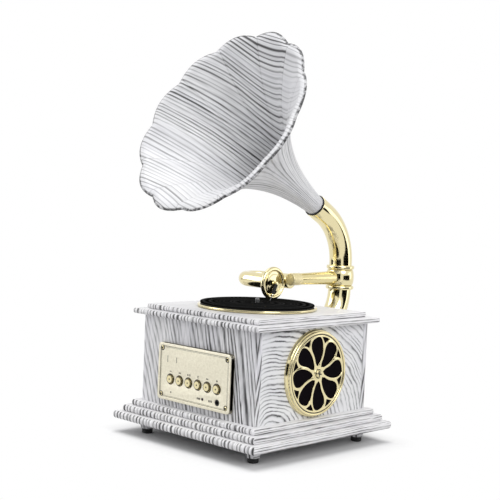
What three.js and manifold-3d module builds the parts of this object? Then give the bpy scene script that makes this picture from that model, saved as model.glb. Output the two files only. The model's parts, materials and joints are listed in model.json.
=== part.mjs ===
// A desk-top record player with a scalloped horn, a swinging tonearm and two side speakers.
// Millimetres, +Z up, +Y to the back, +X to the right.
// The origin is the middle of the base's underside; the feet stand below it.
import * as THREE from 'three';
import { mergeVertices } from 'three/addons/utils/BufferGeometryUtils.js';
import Module from 'manifold-3d';

const wasm = await Module();
wasm.setup();

// Fits shared by every joint and seat
const fitGap = 0.3;
const seatGap = 0.05;
const cutOverrun = 1;
const mergeTolerance = 1e-4;

// Sides of round pieces, from small pins to wide discs
const pinSides = 12;
const knobSides = 16;
const drumSides = 28;
const discSides = 48;
const cornerSteps = 2;

// Cabinet
const cabinetWidth = 157.6;
const cabinetHeight = 87;
const wallThickness = 6;

// Base, three stepped boards that reach out beyond the cabinet
const upperBoardReach = 8.25;
const middleBoardReach = 14.55;
const lowerBoardReach = 21.2;
const upperBoardWidth = cabinetWidth + 2 * upperBoardReach;
const middleBoardWidth = cabinetWidth + 2 * middleBoardReach;
const lowerBoardWidth = cabinetWidth + 2 * lowerBoardReach;
const lowerBoardThickness = 7.5;
const middleBoardThickness = 6.3;
const upperBoardThickness = 5.6;
const boardCornerRadius = 3.4;
const boardEdgeShare = 0.38;

// Cover plate let into the base's underside
const coverWidth = 110;
const coverThickness = 2;
const coverCornerRadius = 5;

// Amplifier
const amplifierPostRadius = 3;
const amplifierPostHeight = 7;
const amplifierPostSpread = 34;

// Feet
const footInset = 25.5;
const footBlockTopRadius = 8.3;
const footBlockFootRadius = 6.1;
const footBlockHeight = 9.3;
const footPadRadius = 5.4;
const footPadHeight = 4.65;
const footPadEdge = 0.8;

// Top, two stepped boards: the lower reaches out beyond the cabinet and the upper stands back from its edge
const topLowerReach = 9.6;
const topUpperInset = 0.45;
const topLowerWidth = cabinetWidth + 2 * topLowerReach;
const topLowerThickness = 5.2;
const topUpperWidth = cabinetWidth - 2 * topUpperInset;
const topUpperThickness = 4.8;

// Control panel on the front wall
const panelWidth = 101;
const panelHeight = 55.5;
const panelDepth = 5;
const panelRise = 34.6;
const panelCornerRadius = 4.5;
const panelEdgeRound = 1.6;
const panelFrameWidth = 2.7;
const panelFieldDepth = 0.5;
const panelPlateThickness = 2.2;
const panelSpigotSideInset = 8.5;
const panelSpigotEndInset = 3;
const panelSpigotDepth = 4;
const panelSpigotWallThickness = 1.6;
const panelSpigotRadius = 6;

// Panel screws
const panelScrewInset = 5.1;
const panelScrewHeadRadius = 1.8;
const panelScrewHeadHeight = 0.9;
const panelScrewShankRadius = 1.2;
const panelScrewGrip = 4.5;

// Buttons and their switches
const buttonCount = 6;
const buttonRowEndInset = 18;
const buttonRowDropShare = 0.1207;
const buttonRowDrop = panelHeight * buttonRowDropShare;
const buttonRadiusShare = 0.3077;
const buttonFlangeRadiusShare = 0.4;
const buttonPitch = (panelWidth - 2 * buttonRowEndInset) / (buttonCount - 1);
const buttonRadius = buttonPitch * buttonRadiusShare;
const buttonFlangeRadius = buttonPitch * buttonFlangeRadiusShare;
const buttonProud = 1.6;
const buttonEdge = 0.6;
const buttonHoleGap = 0.5;
const buttonFlangeThickness = 1.2;
const buttonStemRadius = 1.6;
const buttonTravel = 0.8;
const switchHeight = 3.5;
const switchWidth = 6;
const switchBoreDepth = 1.9;
const switchEngagement = 0.5;

// Control board behind the panel
const controlBoardEndInset = 11.5;
const controlBoardSideInset = 5.75;
const controlBoardWidth = panelWidth - 2 * controlBoardEndInset;
const controlBoardHeight = panelHeight - 2 * controlBoardSideInset;
const controlBoardThickness = 1.6;
const controlBoardDepth = 6.2;
const controlPostRadius = 2.3;
const controlPostPlacesShares = [[-0.36, 0.33], [0.36, 0.33], [-0.36, -0.33]];
const lastPostSideShare = -0.33;

// Jack socket and status lamp
const jackEndInset = 17.1;
const jackOffset = panelWidth / 2 - jackEndInset;
const jackSideInset = 8.45;
const jackDrop = panelHeight / 2 - jackSideInset;
const jackNoseRadius = 2.8;
const jackBoreRadius = 1.8;
const jackBodyWidth = 6.4;
const jackNoseSink = 0.2;
const lampEndInset = 37.2;
const lampOffset = panelWidth / 2 - lampEndInset;
const lampRadius = 1.2;
const lampProud = 0.2;

// Speaker grilles on both side walls
const grilleEdgeInset = 1.5;
const grilleDrop = 0.8;
const grilleRise = cabinetHeight / 2 - grilleDrop;
const grilleRadius = cabinetHeight / 2 - grilleEdgeInset;
const grilleRimHeight = 6;
const grilleRimWidth = 5.6;
const grilleSkirtHeight = 2.6;
const grilleSkirtStep = 1.2;
const grilleSkirtWidth = 2.4;
const grilleRimDrop = 0.7;
const grillePlateRise = 3.7;
const grillePlateThickness = 1.6;
const grillePetalCount = 8;
const grillePetalTipRadiusShare = 0.9725;
const grillePetalTipRadius = (grilleRadius - grilleRimWidth) * grillePetalTipRadiusShare;
const grillePetalWebShare = 0.0452;
const grillePetalWeb = grilleRadius * grillePetalWebShare;
const grillePetalTipShare = 0.62;
const grillePetalPlacesShares = [[0.2, 11], [0.4, 2.5], [0.59, 2.3], [0.8, 5.5], [1, 9.5]];
const grilleCornerPlacesShares = [[0.97, 19], [0.97, 39], [0.8, 29]];
const grillePetalSteps = 7;
const grilleHubRadius = 4.7;
const grilleHubHeight = 2.3;
const grilleHubKnobRadius = 2;

// Speakers behind the grilles
const speakerHoleInset = 6;
const speakerSeatWidth = 2.5;
const speakerConeInset = 4.5;
const speakerHoleRadius = grilleRadius - speakerHoleInset;
const speakerClothThickness = 0.6;
const speakerClothGap = 0.3;
const speakerFlangeRadius = speakerHoleRadius + speakerSeatWidth;
const speakerFlangeThickness = 1.6;
const speakerConeRadius = speakerHoleRadius - speakerConeInset;
const speakerLedgeWidth = 2.5;
const speakerLedgeDepth = 1.1;
const speakerBasketDepth = 13;
const speakerBasketWallThickness = 1.4;
const speakerMagnetRadius = 20;
const speakerMagnetHeight = 10;
const speakerConeThickness = 0.8;
const speakerConeDepth = 8;
const speakerCapRadius = 9.5;
const speakerCapRise = 3;

// Turntable
const platterRadius = 60;
const platterThickness = 2.4;
const platterRunGap = 0.5;
const platterEdge = 0.7;
const slipMatRadius = 57;
const slipMatThickness = 0.8;
const recordRadius = 57.5;
const recordThickness = 1.5;
const recordEdge = 0.35;
const spindleRadius = 3;
const spindleFlangeRadius = 8;
const spindleFlangeThickness = 2;
const spindlePinRadius = 2.1;
const spindlePinProud = 5;
const motorRadius = 24.5;
const motorHeight = 16;
const motorSocketDepth = 9;
const motorEarReach = 31;
const motorEarWidth = 9;
const motorEarThickness = 2;
const motorEarHoleRadius = 1.8;

// Horn post, a bent pipe bolted to the back wall
const pipeRadius = 12.25;
const pipeWallThickness = 1.6;
const postFlangeRadius = 20;
const postFlangeThickness = 3.5;
const postStraight = 2.6;
const postBendRadius = 46;
const postFlangeDrop = 21.2;
const postFlangeRise = cabinetHeight - postFlangeDrop;
const postStubRadius = 8;
const postStubLength = 19;
const postStubBore = 5;
const postNutSides = 6;
const postNutAcross = 26;
const postNutThickness = 6;
const postSpigotHeight = 22;
const beadRadius = 15;
const beadHeight = 4.2;
const pipeSides = 20;

// Tonearm
const collarHeight = 17;
const collarEndRadius = 13;
const collarBulgeRadius = 15;
const armRootRadius = 7.35;
const armTipRadius = 5.95;
const armBoreRadius = 4.3;
const armSocketDepth = 2.4;
const armReach = 66.4;
const armEndLength = 14;
const armEndRadius = 6.4;
const armEndEdge = 0.6;
const armEndSpigotLength = 6;
const armDrop = 0.5;
const pivotInset = 5;
const pivotDrop = 2.8;
const pivotPinRadius = 3.4;
const pivotPinLength = 11;

// Gooseneck that lifts the soundbox
const gooseneckRadius = 7.7;
const gooseneckBendRadius = 12.5;
const gooseneckFarLeg = 36.1;
const gooseneckNearLeg = 28.8;
const gooseneckSides = 18;

// Soundbox and needle
const soundboxRadius = 17;
const soundboxThickness = 4.4;
const soundboxDrop = 1.5;
const soundboxEdge = 1.3;
const soundboxBossLength = 2.8;
const soundboxBossRadius = 8.4;
const soundboxSpigotLength = 6;
const soundboxRimWidth = 3.6;
const soundboxRecess = 1.2;
const diaphragmThickness = 0.6;
const diaphragmDome = 1.6;
const needleBarRadius = 1.1;
const needleBarLength = 13.8;
const needleBarStandOff = 1;
const needleBarBossRadius = 2.2;
const needleClampRadius = 2;
const needleClampLength = 4.6;
const needleRadius = 0.6;
const needleTipRadius = 0.25;
const needleSlant = 27;
const needleClearance = 0.45;

// Horn elbow
const elbowRise = 6.75;
const elbowBendRadius = 60;
const elbowRunLength = 16.8;
const hornElevation = 28.56;

// Horn: a flare with creased petals and a lip that rolls back
const hornLength = 161.5;
const hornFlareRadius = 90.4;
const hornTaperRadius = 12;
const hornFlarePower = 2.6;
const hornWallThickness = 1.8;
const hornNeckLength = 12;
const hornPetalCount = 12;
const hornPetalShare = 0.046;
const hornPetalFadeLength = 30;
const hornPetalLeadLength = 1.8;
const hornPetalSteps = 4;
const hornLipRadius = 6.5;
const hornLipTurn = 80;
const hornLipSteps = 4;
const hornClocking = 1.7;
const hornRowShares = [0, 0.16, 0.34, 0.5, 0.64, 0.76, 0.86, 0.94];
const sealRingThickness = 1.3;
const sealRingRadius = 12;

// Power inlet in the back wall
const inletOffset = -45;
const inletRise = 22;
const inletFlangeRadius = 6.5;
const inletFlangeThickness = 1.5;
const inletBodyRadius = 5;
const inletBodyLength = 14;
const inletBoreRadius = 2.8;
const inletBoreDepth = 9;
const inletPinRadius = 1;
const inletPinLength = 7;

// Heights that follow from the sizes above
const middleBoardZ = lowerBoardThickness + seatGap;
const upperBoardZ = middleBoardZ + middleBoardThickness + seatGap;
const cabinetZ = upperBoardZ + upperBoardThickness + seatGap;
const topLowerZ = cabinetZ + cabinetHeight + seatGap;
const topUpperZ = topLowerZ + topLowerThickness + seatGap;
const deckZ = topUpperZ + topUpperThickness;
const platterZ = deckZ + platterRunGap;
const slipMatZ = platterZ + platterThickness + seatGap;
const recordZ = slipMatZ + slipMatThickness + seatGap;
const recordTopZ = recordZ + recordThickness;
const postFlangeZ = cabinetZ + postFlangeRise;
const postTopZ = postFlangeZ + postBendRadius;
const collarZ = postTopZ + beadHeight + fitGap;
const armZ = collarZ + collarHeight / 2 - armDrop;
const elbowZ = collarZ + collarHeight + fitGap;
const postY = cabinetWidth / 2 + postStraight + postBendRadius;
const armTubeEndY = postY - armReach;
const armCapY = armTubeEndY - armEndLength;
const pivotY = armTubeEndY - pivotInset;
const pivotZ = armZ - pivotDrop;
const pipeBoreRadius = pipeRadius - pipeWallThickness;
const quarterTurn = Math.PI / 2;
const degree = Math.PI / 180;
const bendStep = 11.25 * degree;

// Materials
function finish(color, roughness, metalness) {
  return new THREE.MeshStandardMaterial({ color, roughness, metalness });
}
const woodFilm = finish(0xe6e6e8, 0.5, 0);
const gold = finish(0xd9c98a, 0.18, 1);
const brushedGold = finish(0xebe4c3, 0.35, 0.9);
const blackRubber = finish(0x151515, 0.85, 0);
const blackPlastic = finish(0x1a1a1c, 0.55, 0);
const recordBlack = finish(0x202022, 0.4, 0);
const clothBlack = finish(0x14121a, 0.95, 0);
const circuitGreen = finish(0x1f5a34, 0.6, 0);
const steel = finish(0x9a9c9f, 0.4, 1);
const conePaper = finish(0x26262a, 0.9, 0);
const lampLens = finish(0x9fc6ff, 0.2, 0);

// Merge the shared corners, drop flat triangles and make the faces point out
function tidy(geometry) {
  const bare = new THREE.BufferGeometry();
  bare.setAttribute('position', geometry.getAttribute('position').clone());
  if (geometry.index) bare.setIndex(geometry.index.clone());
  const merged = mergeVertices(bare, mergeTolerance);
  const corners = merged.getAttribute('position');
  const order = merged.index.array;
  const kept = [];
  let volume = 0;
  const a = new THREE.Vector3();
  const b = new THREE.Vector3();
  const c = new THREE.Vector3();
  for (let i = 0; i < order.length; i += 3) {
    const [p, q, r] = [order[i], order[i + 1], order[i + 2]];
    if (p === q || q === r || r === p) continue;
    kept.push([p, q, r]);
    a.fromBufferAttribute(corners, p);
    b.fromBufferAttribute(corners, q);
    c.fromBufferAttribute(corners, r);
    volume += a.dot(b.cross(c));
  }
  const facing = volume < 0 ? kept.map(([p, q, r]) => [p, r, q]) : kept;
  merged.setIndex(facing.flat());
  return merged;
}

function toSolid(geometry) {
  const clean = tidy(geometry);
  return new wasm.Manifold(new wasm.Mesh({
    numProp: 3,
    vertProperties: new Float32Array(clean.getAttribute('position').array),
    triVerts: new Uint32Array(clean.index.array),
  }));
}

function toGeometry(solid) {
  const mesh = solid.getMesh();
  const geometry = new THREE.BufferGeometry();
  geometry.setAttribute('position', new THREE.BufferAttribute(new Float32Array(mesh.vertProperties), 3));
  geometry.setIndex(new THREE.BufferAttribute(new Uint32Array(mesh.triVerts), 1));
  return geometry;
}

// Join the first list of shapes and cut the second list from them
function carve(joined, cuts = []) {
  let solid = toSolid(joined[0]);
  for (const shape of joined.slice(1)) solid = solid.add(toSolid(shape));
  for (const shape of cuts) solid = solid.subtract(toSolid(shape));
  return toGeometry(solid);
}

// A box centred in X and Y that starts at a height
function block(width, depth, height, z = 0) {
  return new THREE.BoxGeometry(width, depth, height).translate(0, 0, z + height / 2);
}

// A turned shape about Z, from points of radius and height that start and end on the axis
function turned(points, sides) {
  const profile = points.map(([radius, height]) => new THREE.Vector2(radius, height));
  return new THREE.LatheGeometry(profile, sides).rotateX(quarterTurn);
}

// A turned ring about Z whose outline closes on itself
function turnedRing(points, sides) {
  return turned([...points, points[0]], sides);
}

function rod(radius, z, height, sides) {
  return turned([[0, z], [radius, z], [radius, z + height], [0, z + height]], sides);
}

function roundedRectangle(width, height, radius) {
  const x = width / 2 - radius;
  const y = height / 2 - radius;
  const shape = new THREE.Shape();
  shape.absarc(x, -y, radius, -quarterTurn, 0);
  shape.absarc(x, y, radius, 0, quarterTurn);
  shape.absarc(-x, y, radius, quarterTurn, 2 * quarterTurn);
  shape.absarc(-x, -y, radius, 2 * quarterTurn, 3 * quarterTurn);
  return shape;
}

// A flat plate from Z 0 up, with its edges rounded on both faces
function plate(shape, thickness, edge = 0) {
  return new THREE.ExtrudeGeometry(shape, {
    depth: thickness - 2 * edge,
    bevelEnabled: edge > 0,
    bevelThickness: edge,
    bevelSize: edge,
    bevelOffset: -edge,
    bevelSegments: cornerSteps,
    curveSegments: cornerSteps,
  }).translate(0, 0, edge);
}

function circlePoints(radius, sides) {
  return Array.from({ length: sides }, (_, i) => {
    const angle = (i / sides) * 2 * Math.PI;
    return new THREE.Vector2(radius * Math.cos(angle), radius * Math.sin(angle));
  });
}

// A round bar swept along a path
function sweep(path, radius, sides, steps) {
  const section = new THREE.Shape(circlePoints(radius, sides));
  return new THREE.ExtrudeGeometry(section, { extrudePath: path, steps, curveSegments: 1 });
}

// A curve of straight runs and arcs that lies in one plane, walked forward by even steps of share
class BentPath extends THREE.Curve {
  constructor(start, forward, side, runs) {
    super();
    this.points = [start.clone()];
    let heading = 0;
    for (const { length, radius, turn } of runs) {
      if (length) this.step(forward, side, heading, length);
      if (!radius) continue;
      const count = Math.max(1, Math.round(turn / bendStep));
      const chord = 2 * radius * Math.sin(turn / count / 2);
      for (let i = 0; i < count; i += 1) {
        this.step(forward, side, heading + turn / count / 2, chord);
        heading += turn / count;
      }
    }
  }

  step(forward, side, heading, length) {
    const next = this.points[this.points.length - 1].clone();
    next.addScaledVector(forward, length * Math.cos(heading));
    next.addScaledVector(side, length * Math.sin(heading));
    this.points.push(next);
  }

  getPoint(share, target = new THREE.Vector3()) {
    const place = share * (this.points.length - 1);
    const index = Math.min(Math.floor(place), this.points.length - 2);
    return target.lerpVectors(this.points[index], this.points[index + 1], place - index);
  }

  getPointAt(share, target) {
    return this.getPoint(share, target);
  }

  getTangent(share, target = new THREE.Vector3()) {
    const last = this.points.length - 1;
    const index = Math.round(share * last);
    const before = this.points[Math.max(index - 1, 0)];
    const after = this.points[Math.min(index + 1, last)];
    if (index === 0) return target.subVectors(this.points[1], this.points[0]).normalize();
    if (index === last) return target.subVectors(this.points[last], this.points[last - 1]).normalize();
    const arriving = this.points[index].clone().sub(before).normalize();
    const leaving = after.clone().sub(this.points[index]).normalize();
    return target.addVectors(arriving, leaving).normalize();
  }

  getTangentAt(share, target) {
    return this.getTangent(share, target);
  }

  get steps() {
    return this.points.length - 1;
  }
}

const xAxis = new THREE.Vector3(1, 0, 0);
const yAxis = new THREE.Vector3(0, 1, 0);
const zAxis = new THREE.Vector3(0, 0, 1);

const recordPlayer = new THREE.Group();
recordPlayer.name = 'record_player';

function addPiece(name, geometry, material, parent = recordPlayer) {
  const mesh = new THREE.Mesh(tidy(geometry), material);
  mesh.name = name;
  parent.add(mesh);
  return mesh;
}

// A group on a wall: its own X runs along the wall, Y up and Z out of the wall
function wallGroup(turn, z) {
  const upright = new THREE.Group();
  upright.rotation.z = turn;
  const face = new THREE.Group();
  face.rotation.x = quarterTurn;
  face.position.set(0, -cabinetWidth / 2 - seatGap, z);
  upright.add(face);
  recordPlayer.add(upright);
  return face;
}

// A board with rounded corners and rounded edges
function steppedBoard(width, thickness) {
  return plate(roundedRectangle(width, width, boardCornerRadius), thickness, thickness * boardEdgeShare);
}

// Base boards, with the cover plate in the lowest one
function addBase() {
  const coverOutline = (width) => roundedRectangle(width, width, coverCornerRadius);
  const pocket = plate(coverOutline(coverWidth + 2 * fitGap), coverThickness + seatGap + cutOverrun)
    .translate(0, 0, -cutOverrun);
  const lower = carve([steppedBoard(lowerBoardWidth, lowerBoardThickness)], [pocket]);
  addPiece('plinth_lower_board', lower, woodFilm);
  addPiece('cover_plate', plate(coverOutline(coverWidth), coverThickness), blackPlastic);
  const middle = addPiece('plinth_middle_board', steppedBoard(middleBoardWidth, middleBoardThickness), woodFilm);
  middle.position.z = middleBoardZ;
  const upper = addPiece('plinth_upper_board', steppedBoard(upperBoardWidth, upperBoardThickness), woodFilm);
  upper.position.z = upperBoardZ;
}

// Amplifier board on four posts that stand on the upper board
function addAmplifier() {
  const spread = amplifierPostSpread;
  const places = [[spread, spread], [-spread, spread], [-spread, -spread], [spread, -spread]];
  const posts = places.map(([x, y]) =>
    rod(amplifierPostRadius, -amplifierPostHeight, amplifierPostHeight + seatGap, pinSides).translate(x, y, 0));
  const boardWidth = 2 * (spread + amplifierPostRadius);
  const sheet = block(boardWidth, boardWidth, controlBoardThickness);
  const shape = carve([sheet, ...posts, ...amplifierParts(boardWidth)]);
  const board = addPiece('amplifier_board', shape, circuitGreen);
  board.position.z = cabinetZ + amplifierPostHeight;
}

// The heat sink, two capacitors and a coil on the amplifier, sized by the board
const heatSinkShares = [0.5, 0.12, 0.3];
const capacitorRadiusShare = 0.075;
const capacitorHeightShare = 0.24;
const coilRadiusShare = 0.13;
const coilHeightShare = 0.12;

function amplifierParts(width) {
  const z = controlBoardThickness - seatGap;
  const [sinkWidth, sinkDepth, sinkHeight] = heatSinkShares.map((share) => share * width);
  const sink = block(sinkWidth, sinkDepth, sinkHeight, z).translate(0, sinkWidth / 2, 0);
  const radius = capacitorRadiusShare * width;
  const capacitorHeight = capacitorHeightShare * width;
  const capacitor = (x) => rod(radius, z, capacitorHeight, pinSides).translate(x, -sinkWidth / 2, 0);
  const coil = rod(coilRadiusShare * width, z, coilHeightShare * width, pinSides).translate(-sinkWidth / 2, 0, 0);
  return [sink, capacitor(sinkWidth / 2), capacitor(sinkWidth / 2 - 3 * radius), coil];
}

// Feet: a tapered block and a rubber pad at each corner
function addFeet() {
  const place = lowerBoardWidth / 2 - footInset;
  const corners = [[-place, -place], [place, -place], [place, place], [-place, place]];
  const blockTopZ = -seatGap;
  const blockFootZ = blockTopZ - footBlockHeight;
  const padTopZ = blockFootZ - seatGap;
  const padFootZ = padTopZ - footPadHeight;
  corners.forEach(([x, y], index) => {
    const footBlock = turned([
      [0, blockTopZ], [footBlockTopRadius, blockTopZ], [footBlockFootRadius, blockFootZ], [0, blockFootZ],
    ], knobSides);
    const pad = turned([
      [0, padTopZ], [footPadRadius, padTopZ], [footPadRadius, padFootZ + footPadEdge],
      [footPadRadius - footPadEdge, padFootZ], [0, padFootZ],
    ], knobSides);
    addPiece(`foot_block_${index + 1}`, footBlock, woodFilm).position.set(x, y, 0);
    addPiece(`foot_pad_${index + 1}`, pad, blackRubber).position.set(x, y, 0);
  });
}

// The panel's spigot, or the cut for it when extra room is given
function panelSpigotSize(extra = 0) {
  const width = panelWidth - 2 * panelSpigotSideInset + 2 * extra;
  const height = panelHeight - 2 * panelSpigotEndInset + 2 * extra;
  return [width, height];
}

function panelScrewPlaces() {
  const x = panelWidth / 2 - panelScrewInset;
  const y = panelHeight / 2 - panelScrewInset;
  return [[-x, y], [x, y], [x, -y], [-x, -y]];
}

// Walls: the front and back run full width and the sides stand between them
function addWalls() {
  const wallY = cabinetWidth / 2 - wallThickness / 2;
  const panelZ = cabinetZ + panelRise;
  const [cutWidth, cutHeight] = panelSpigotSize(fitGap);
  const through = wallThickness + 2 * cutOverrun;
  const wallBoard = (width) => block(width, wallThickness, cabinetHeight, cabinetZ);

  const panelCut = plate(roundedRectangle(cutWidth, cutHeight, panelSpigotRadius), through)
    .rotateX(quarterTurn).translate(0, -wallY + through / 2, panelZ);
  const pilots = panelScrewPlaces().map(([x, z]) =>
    rod(panelScrewShankRadius + fitGap, -cutOverrun, panelScrewGrip + seatGap + cutOverrun, pinSides)
      .rotateX(-quarterTurn).translate(x, -cabinetWidth / 2, panelZ + z));
  const front = wallBoard(cabinetWidth).translate(0, -wallY, 0);
  addPiece('front_wall', carve([front], [panelCut, ...pilots]), woodFilm);

  const stubHole = rod(postStubRadius + fitGap, -through / 2, through, knobSides)
    .rotateX(quarterTurn).translate(0, wallY, postFlangeZ);
  const inletHole = rod(inletBodyRadius + fitGap, -through / 2, through, knobSides)
    .rotateX(quarterTurn).translate(inletOffset, wallY, cabinetZ + inletRise);
  const back = wallBoard(cabinetWidth).translate(0, wallY, 0);
  addPiece('back_wall', carve([back], [stubHole, inletHole]), woodFilm);

  const sideLength = cabinetWidth - 2 * (wallThickness + seatGap);
  for (const [name, sign] of [['right_wall', 1], ['left_wall', -1]]) {
    const hole = rod(speakerHoleRadius, -through / 2, through, drumSides)
      .rotateX(quarterTurn).translate(0, sign * -wallY, cabinetZ + grilleRise);
    const side = wallBoard(sideLength).translate(0, sign * -wallY, 0);
    addPiece(name, carve([side], [hole]), woodFilm).rotation.z = quarterTurn;
  }
}

// Top boards, bored for the spindle
function addTop() {
  const bore = (thickness) => rod(spindleRadius + fitGap, -cutOverrun, thickness + 2 * cutOverrun, knobSides);
  const lower = carve([steppedBoard(topLowerWidth, topLowerThickness)], [bore(topLowerThickness)]);
  addPiece('top_lower_board', lower, woodFilm).position.z = topLowerZ;

  const counterboreZ = topUpperThickness + platterRunGap - spindleFlangeThickness - seatGap - fitGap;
  const counterbore = rod(spindleFlangeRadius + fitGap, counterboreZ, spindleFlangeThickness + cutOverrun, knobSides);
  const upper = carve([steppedBoard(topUpperWidth, topUpperThickness)], [bore(topUpperThickness), counterbore]);
  addPiece('top_upper_board', upper, woodFilm).position.z = topUpperZ;
}

// Control panel: a rimmed moulding with a spigot that is let into the front wall
const fieldZ = panelDepth - panelFieldDepth;
const plateBackZ = fieldZ - panelPlateThickness;
const buttonPlaces = Array.from({ length: buttonCount }, (_, i) => (i - (buttonCount - 1) / 2) * buttonPitch);

function addControlPanel(face) {
  const outline = roundedRectangle(panelWidth, panelHeight, panelCornerRadius);
  const body = plate(outline, panelDepth + 2 * panelEdgeRound, panelEdgeRound).translate(0, 0, -2 * panelEdgeRound);
  const behind = block(panelWidth + cutOverrun, panelHeight + cutOverrun, 2 * panelEdgeRound + cutOverrun)
    .translate(0, 0, -2 * panelEdgeRound - cutOverrun);
  const field = plate(roundedRectangle(
    panelWidth - 2 * panelFrameWidth, panelHeight - 2 * panelFrameWidth, panelCornerRadius - panelEdgeRound,
  ), panelFieldDepth + cutOverrun).translate(0, 0, fieldZ);

  const [spigotWidth, spigotHeight] = panelSpigotSize();
  const spigot = plate(roundedRectangle(spigotWidth, spigotHeight, panelSpigotRadius), plateBackZ + panelSpigotDepth)
    .translate(0, 0, -panelSpigotDepth);
  const hollow = plate(roundedRectangle(
    spigotWidth - 2 * panelSpigotWallThickness, spigotHeight - 2 * panelSpigotWallThickness, panelSpigotRadius - panelSpigotWallThickness,
  ), plateBackZ + panelSpigotDepth + cutOverrun).translate(0, 0, -panelSpigotDepth - cutOverrun);

  const postPlaces = controlPostPlacesShares.map(([x, y]) => [x * panelWidth, y * panelHeight]);
  postPlaces.push([(jackOffset + lampOffset) / 2, lastPostSideShare * panelHeight]);
  const posts = postPlaces.map(([x, y]) =>
    rod(controlPostRadius, -controlBoardDepth + seatGap, plateBackZ + controlBoardDepth, pinSides).translate(x, y, 0));
  const through = (radius, sides) => rod(radius, -cutOverrun, panelDepth + 2 * cutOverrun, sides);
  const holes = [
    ...buttonPlaces.map((x) => through(buttonRadius + buttonHoleGap, knobSides).translate(x, -buttonRowDrop, 0)),
    ...panelScrewPlaces().map(([x, y]) => through(panelScrewShankRadius + fitGap, pinSides).translate(x, y, 0)),
    through(jackNoseRadius + fitGap, pinSides).translate(jackOffset, -jackDrop, 0),
    through(lampRadius + fitGap, pinSides).translate(lampOffset, -jackDrop, 0),
  ];
  const rim = toSolid(carve([body], [behind, field])).add(toSolid(spigot)).subtract(toSolid(hollow));
  let moulding = rim;
  for (const post of posts) moulding = moulding.add(toSolid(post));
  for (const hole of holes) moulding = moulding.subtract(toSolid(hole));
  addPiece('control_panel', toGeometry(moulding), brushedGold, face);
}

function addPanelScrews(face) {
  const headZ = fieldZ + seatGap;
  const profile = [
    [0, -panelScrewGrip], [panelScrewShankRadius, -panelScrewGrip], [panelScrewShankRadius, headZ],
    [panelScrewHeadRadius, headZ], [panelScrewHeadRadius, headZ + panelScrewHeadHeight / 2],
    [panelScrewShankRadius, headZ + panelScrewHeadHeight], [0, headZ + panelScrewHeadHeight],
  ];
  panelScrewPlaces().forEach(([x, y], index) => {
    addPiece(`panel_screw_${index + 1}`, turned(profile, pinSides), steel, face).position.set(x, y, 0);
  });
}

function addButtons(face) {
  const frontZ = fieldZ + buttonProud;
  const flangeZ = plateBackZ - fitGap;
  const switchZ = -controlBoardDepth + switchHeight;
  const tailZ = switchZ - switchEngagement;
  const profile = [
    [0, tailZ], [buttonStemRadius, tailZ], [buttonStemRadius, flangeZ - buttonFlangeThickness],
    [buttonFlangeRadius, flangeZ - buttonFlangeThickness], [buttonFlangeRadius, flangeZ], [buttonRadius, flangeZ],
    [buttonRadius, frontZ - buttonEdge], [buttonRadius - buttonEdge, frontZ], [0, frontZ],
  ];
  buttonPlaces.forEach((x, index) => {
    addPiece(`button_${index + 1}`, turned(profile, knobSides), gold, face).position.set(x, -buttonRowDrop, 0);
  });
}

// Circuit board behind the panel, with a switch under each button
function addControlBoard(face) {
  const sheet = block(controlBoardWidth, controlBoardHeight, controlBoardThickness, -controlBoardThickness);
  const switches = buttonPlaces.map((x) =>
    block(switchWidth, switchWidth, switchHeight + seatGap, -seatGap).translate(x, -buttonRowDrop, 0));
  const bores = buttonPlaces.map((x) =>
    rod(buttonStemRadius + fitGap, switchHeight - switchBoreDepth, switchBoreDepth + cutOverrun, pinSides)
      .translate(x, -buttonRowDrop, 0));
  const board = addPiece('control_board', carve([sheet, ...switches], bores), circuitGreen, face);
  board.position.z = -controlBoardDepth;
}

function addJackAndLamp(face) {
  const footZ = -controlBoardDepth + seatGap;
  const bodyTopZ = plateBackZ - fitGap;
  const noseTopZ = fieldZ - jackNoseSink;
  const body = block(jackBodyWidth, jackBodyWidth, bodyTopZ - footZ, footZ);
  const nose = rod(jackNoseRadius, footZ, noseTopZ - footZ, pinSides);
  const bore = rod(jackBoreRadius, footZ + controlBoardThickness, panelDepth - footZ, pinSides);
  const jack = carve([body, nose], [bore]);
  addPiece('aux_jack', jack, blackPlastic, face).position.set(jackOffset, -jackDrop, 0);

  const topZ = fieldZ + lampProud;
  const lamp = turned([
    [0, footZ], [lampRadius, footZ], [lampRadius, topZ - lampRadius / 2], [lampRadius / 2, topZ], [0, topZ],
  ], pinSides);
  addPiece('status_lamp', lamp, lampLens, face).position.set(lampOffset, -jackDrop, 0);
}

// Grille: a stepped rim round eight petals that swirl out of a hub
function polar(radius, angle) {
  return new THREE.Vector2(radius * Math.cos(angle), radius * Math.sin(angle));
}

// The petal's middle line is a smooth curve; its sides keep one web's width from the next petal
function petalOutline(turn) {
  const middle = new THREE.SplineCurve(grillePetalPlacesShares.map(([share, angle]) =>
    polar(share * grillePetalTipRadius, turn + angle * degree)));
  const halfPitch = Math.PI / grillePetalCount;
  const left = [];
  const right = [];
  for (let i = 1; i < grillePetalSteps; i += 1) {
    const share = Math.sin(quarterTurn * i / grillePetalSteps);
    const point = middle.getPoint(share);
    const along = middle.getTangent(share);
    const across = new THREE.Vector2(-along.y, along.x);
    const radius = point.length();
    const slant = Math.abs(along.dot(point)) / radius;
    const round = Math.max(0, (share - grillePetalTipShare) / (1 - grillePetalTipShare));
    const half = (radius * Math.sin(halfPitch) * slant - grillePetalWeb / 2) * Math.sqrt(1 - round * round);
    left.push(point.clone().addScaledVector(across, half));
    right.unshift(point.clone().addScaledVector(across, -half));
  }
  return new THREE.Path([middle.getPoint(0), ...left, middle.getPoint(1), ...right]);
}

function cornerOutline(turn) {
  const innerRadius = grilleRadius - grilleRimWidth;
  return new THREE.Path(grilleCornerPlacesShares.map(([share, angle]) =>
    polar(share * innerRadius, turn + angle * degree)));
}

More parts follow.
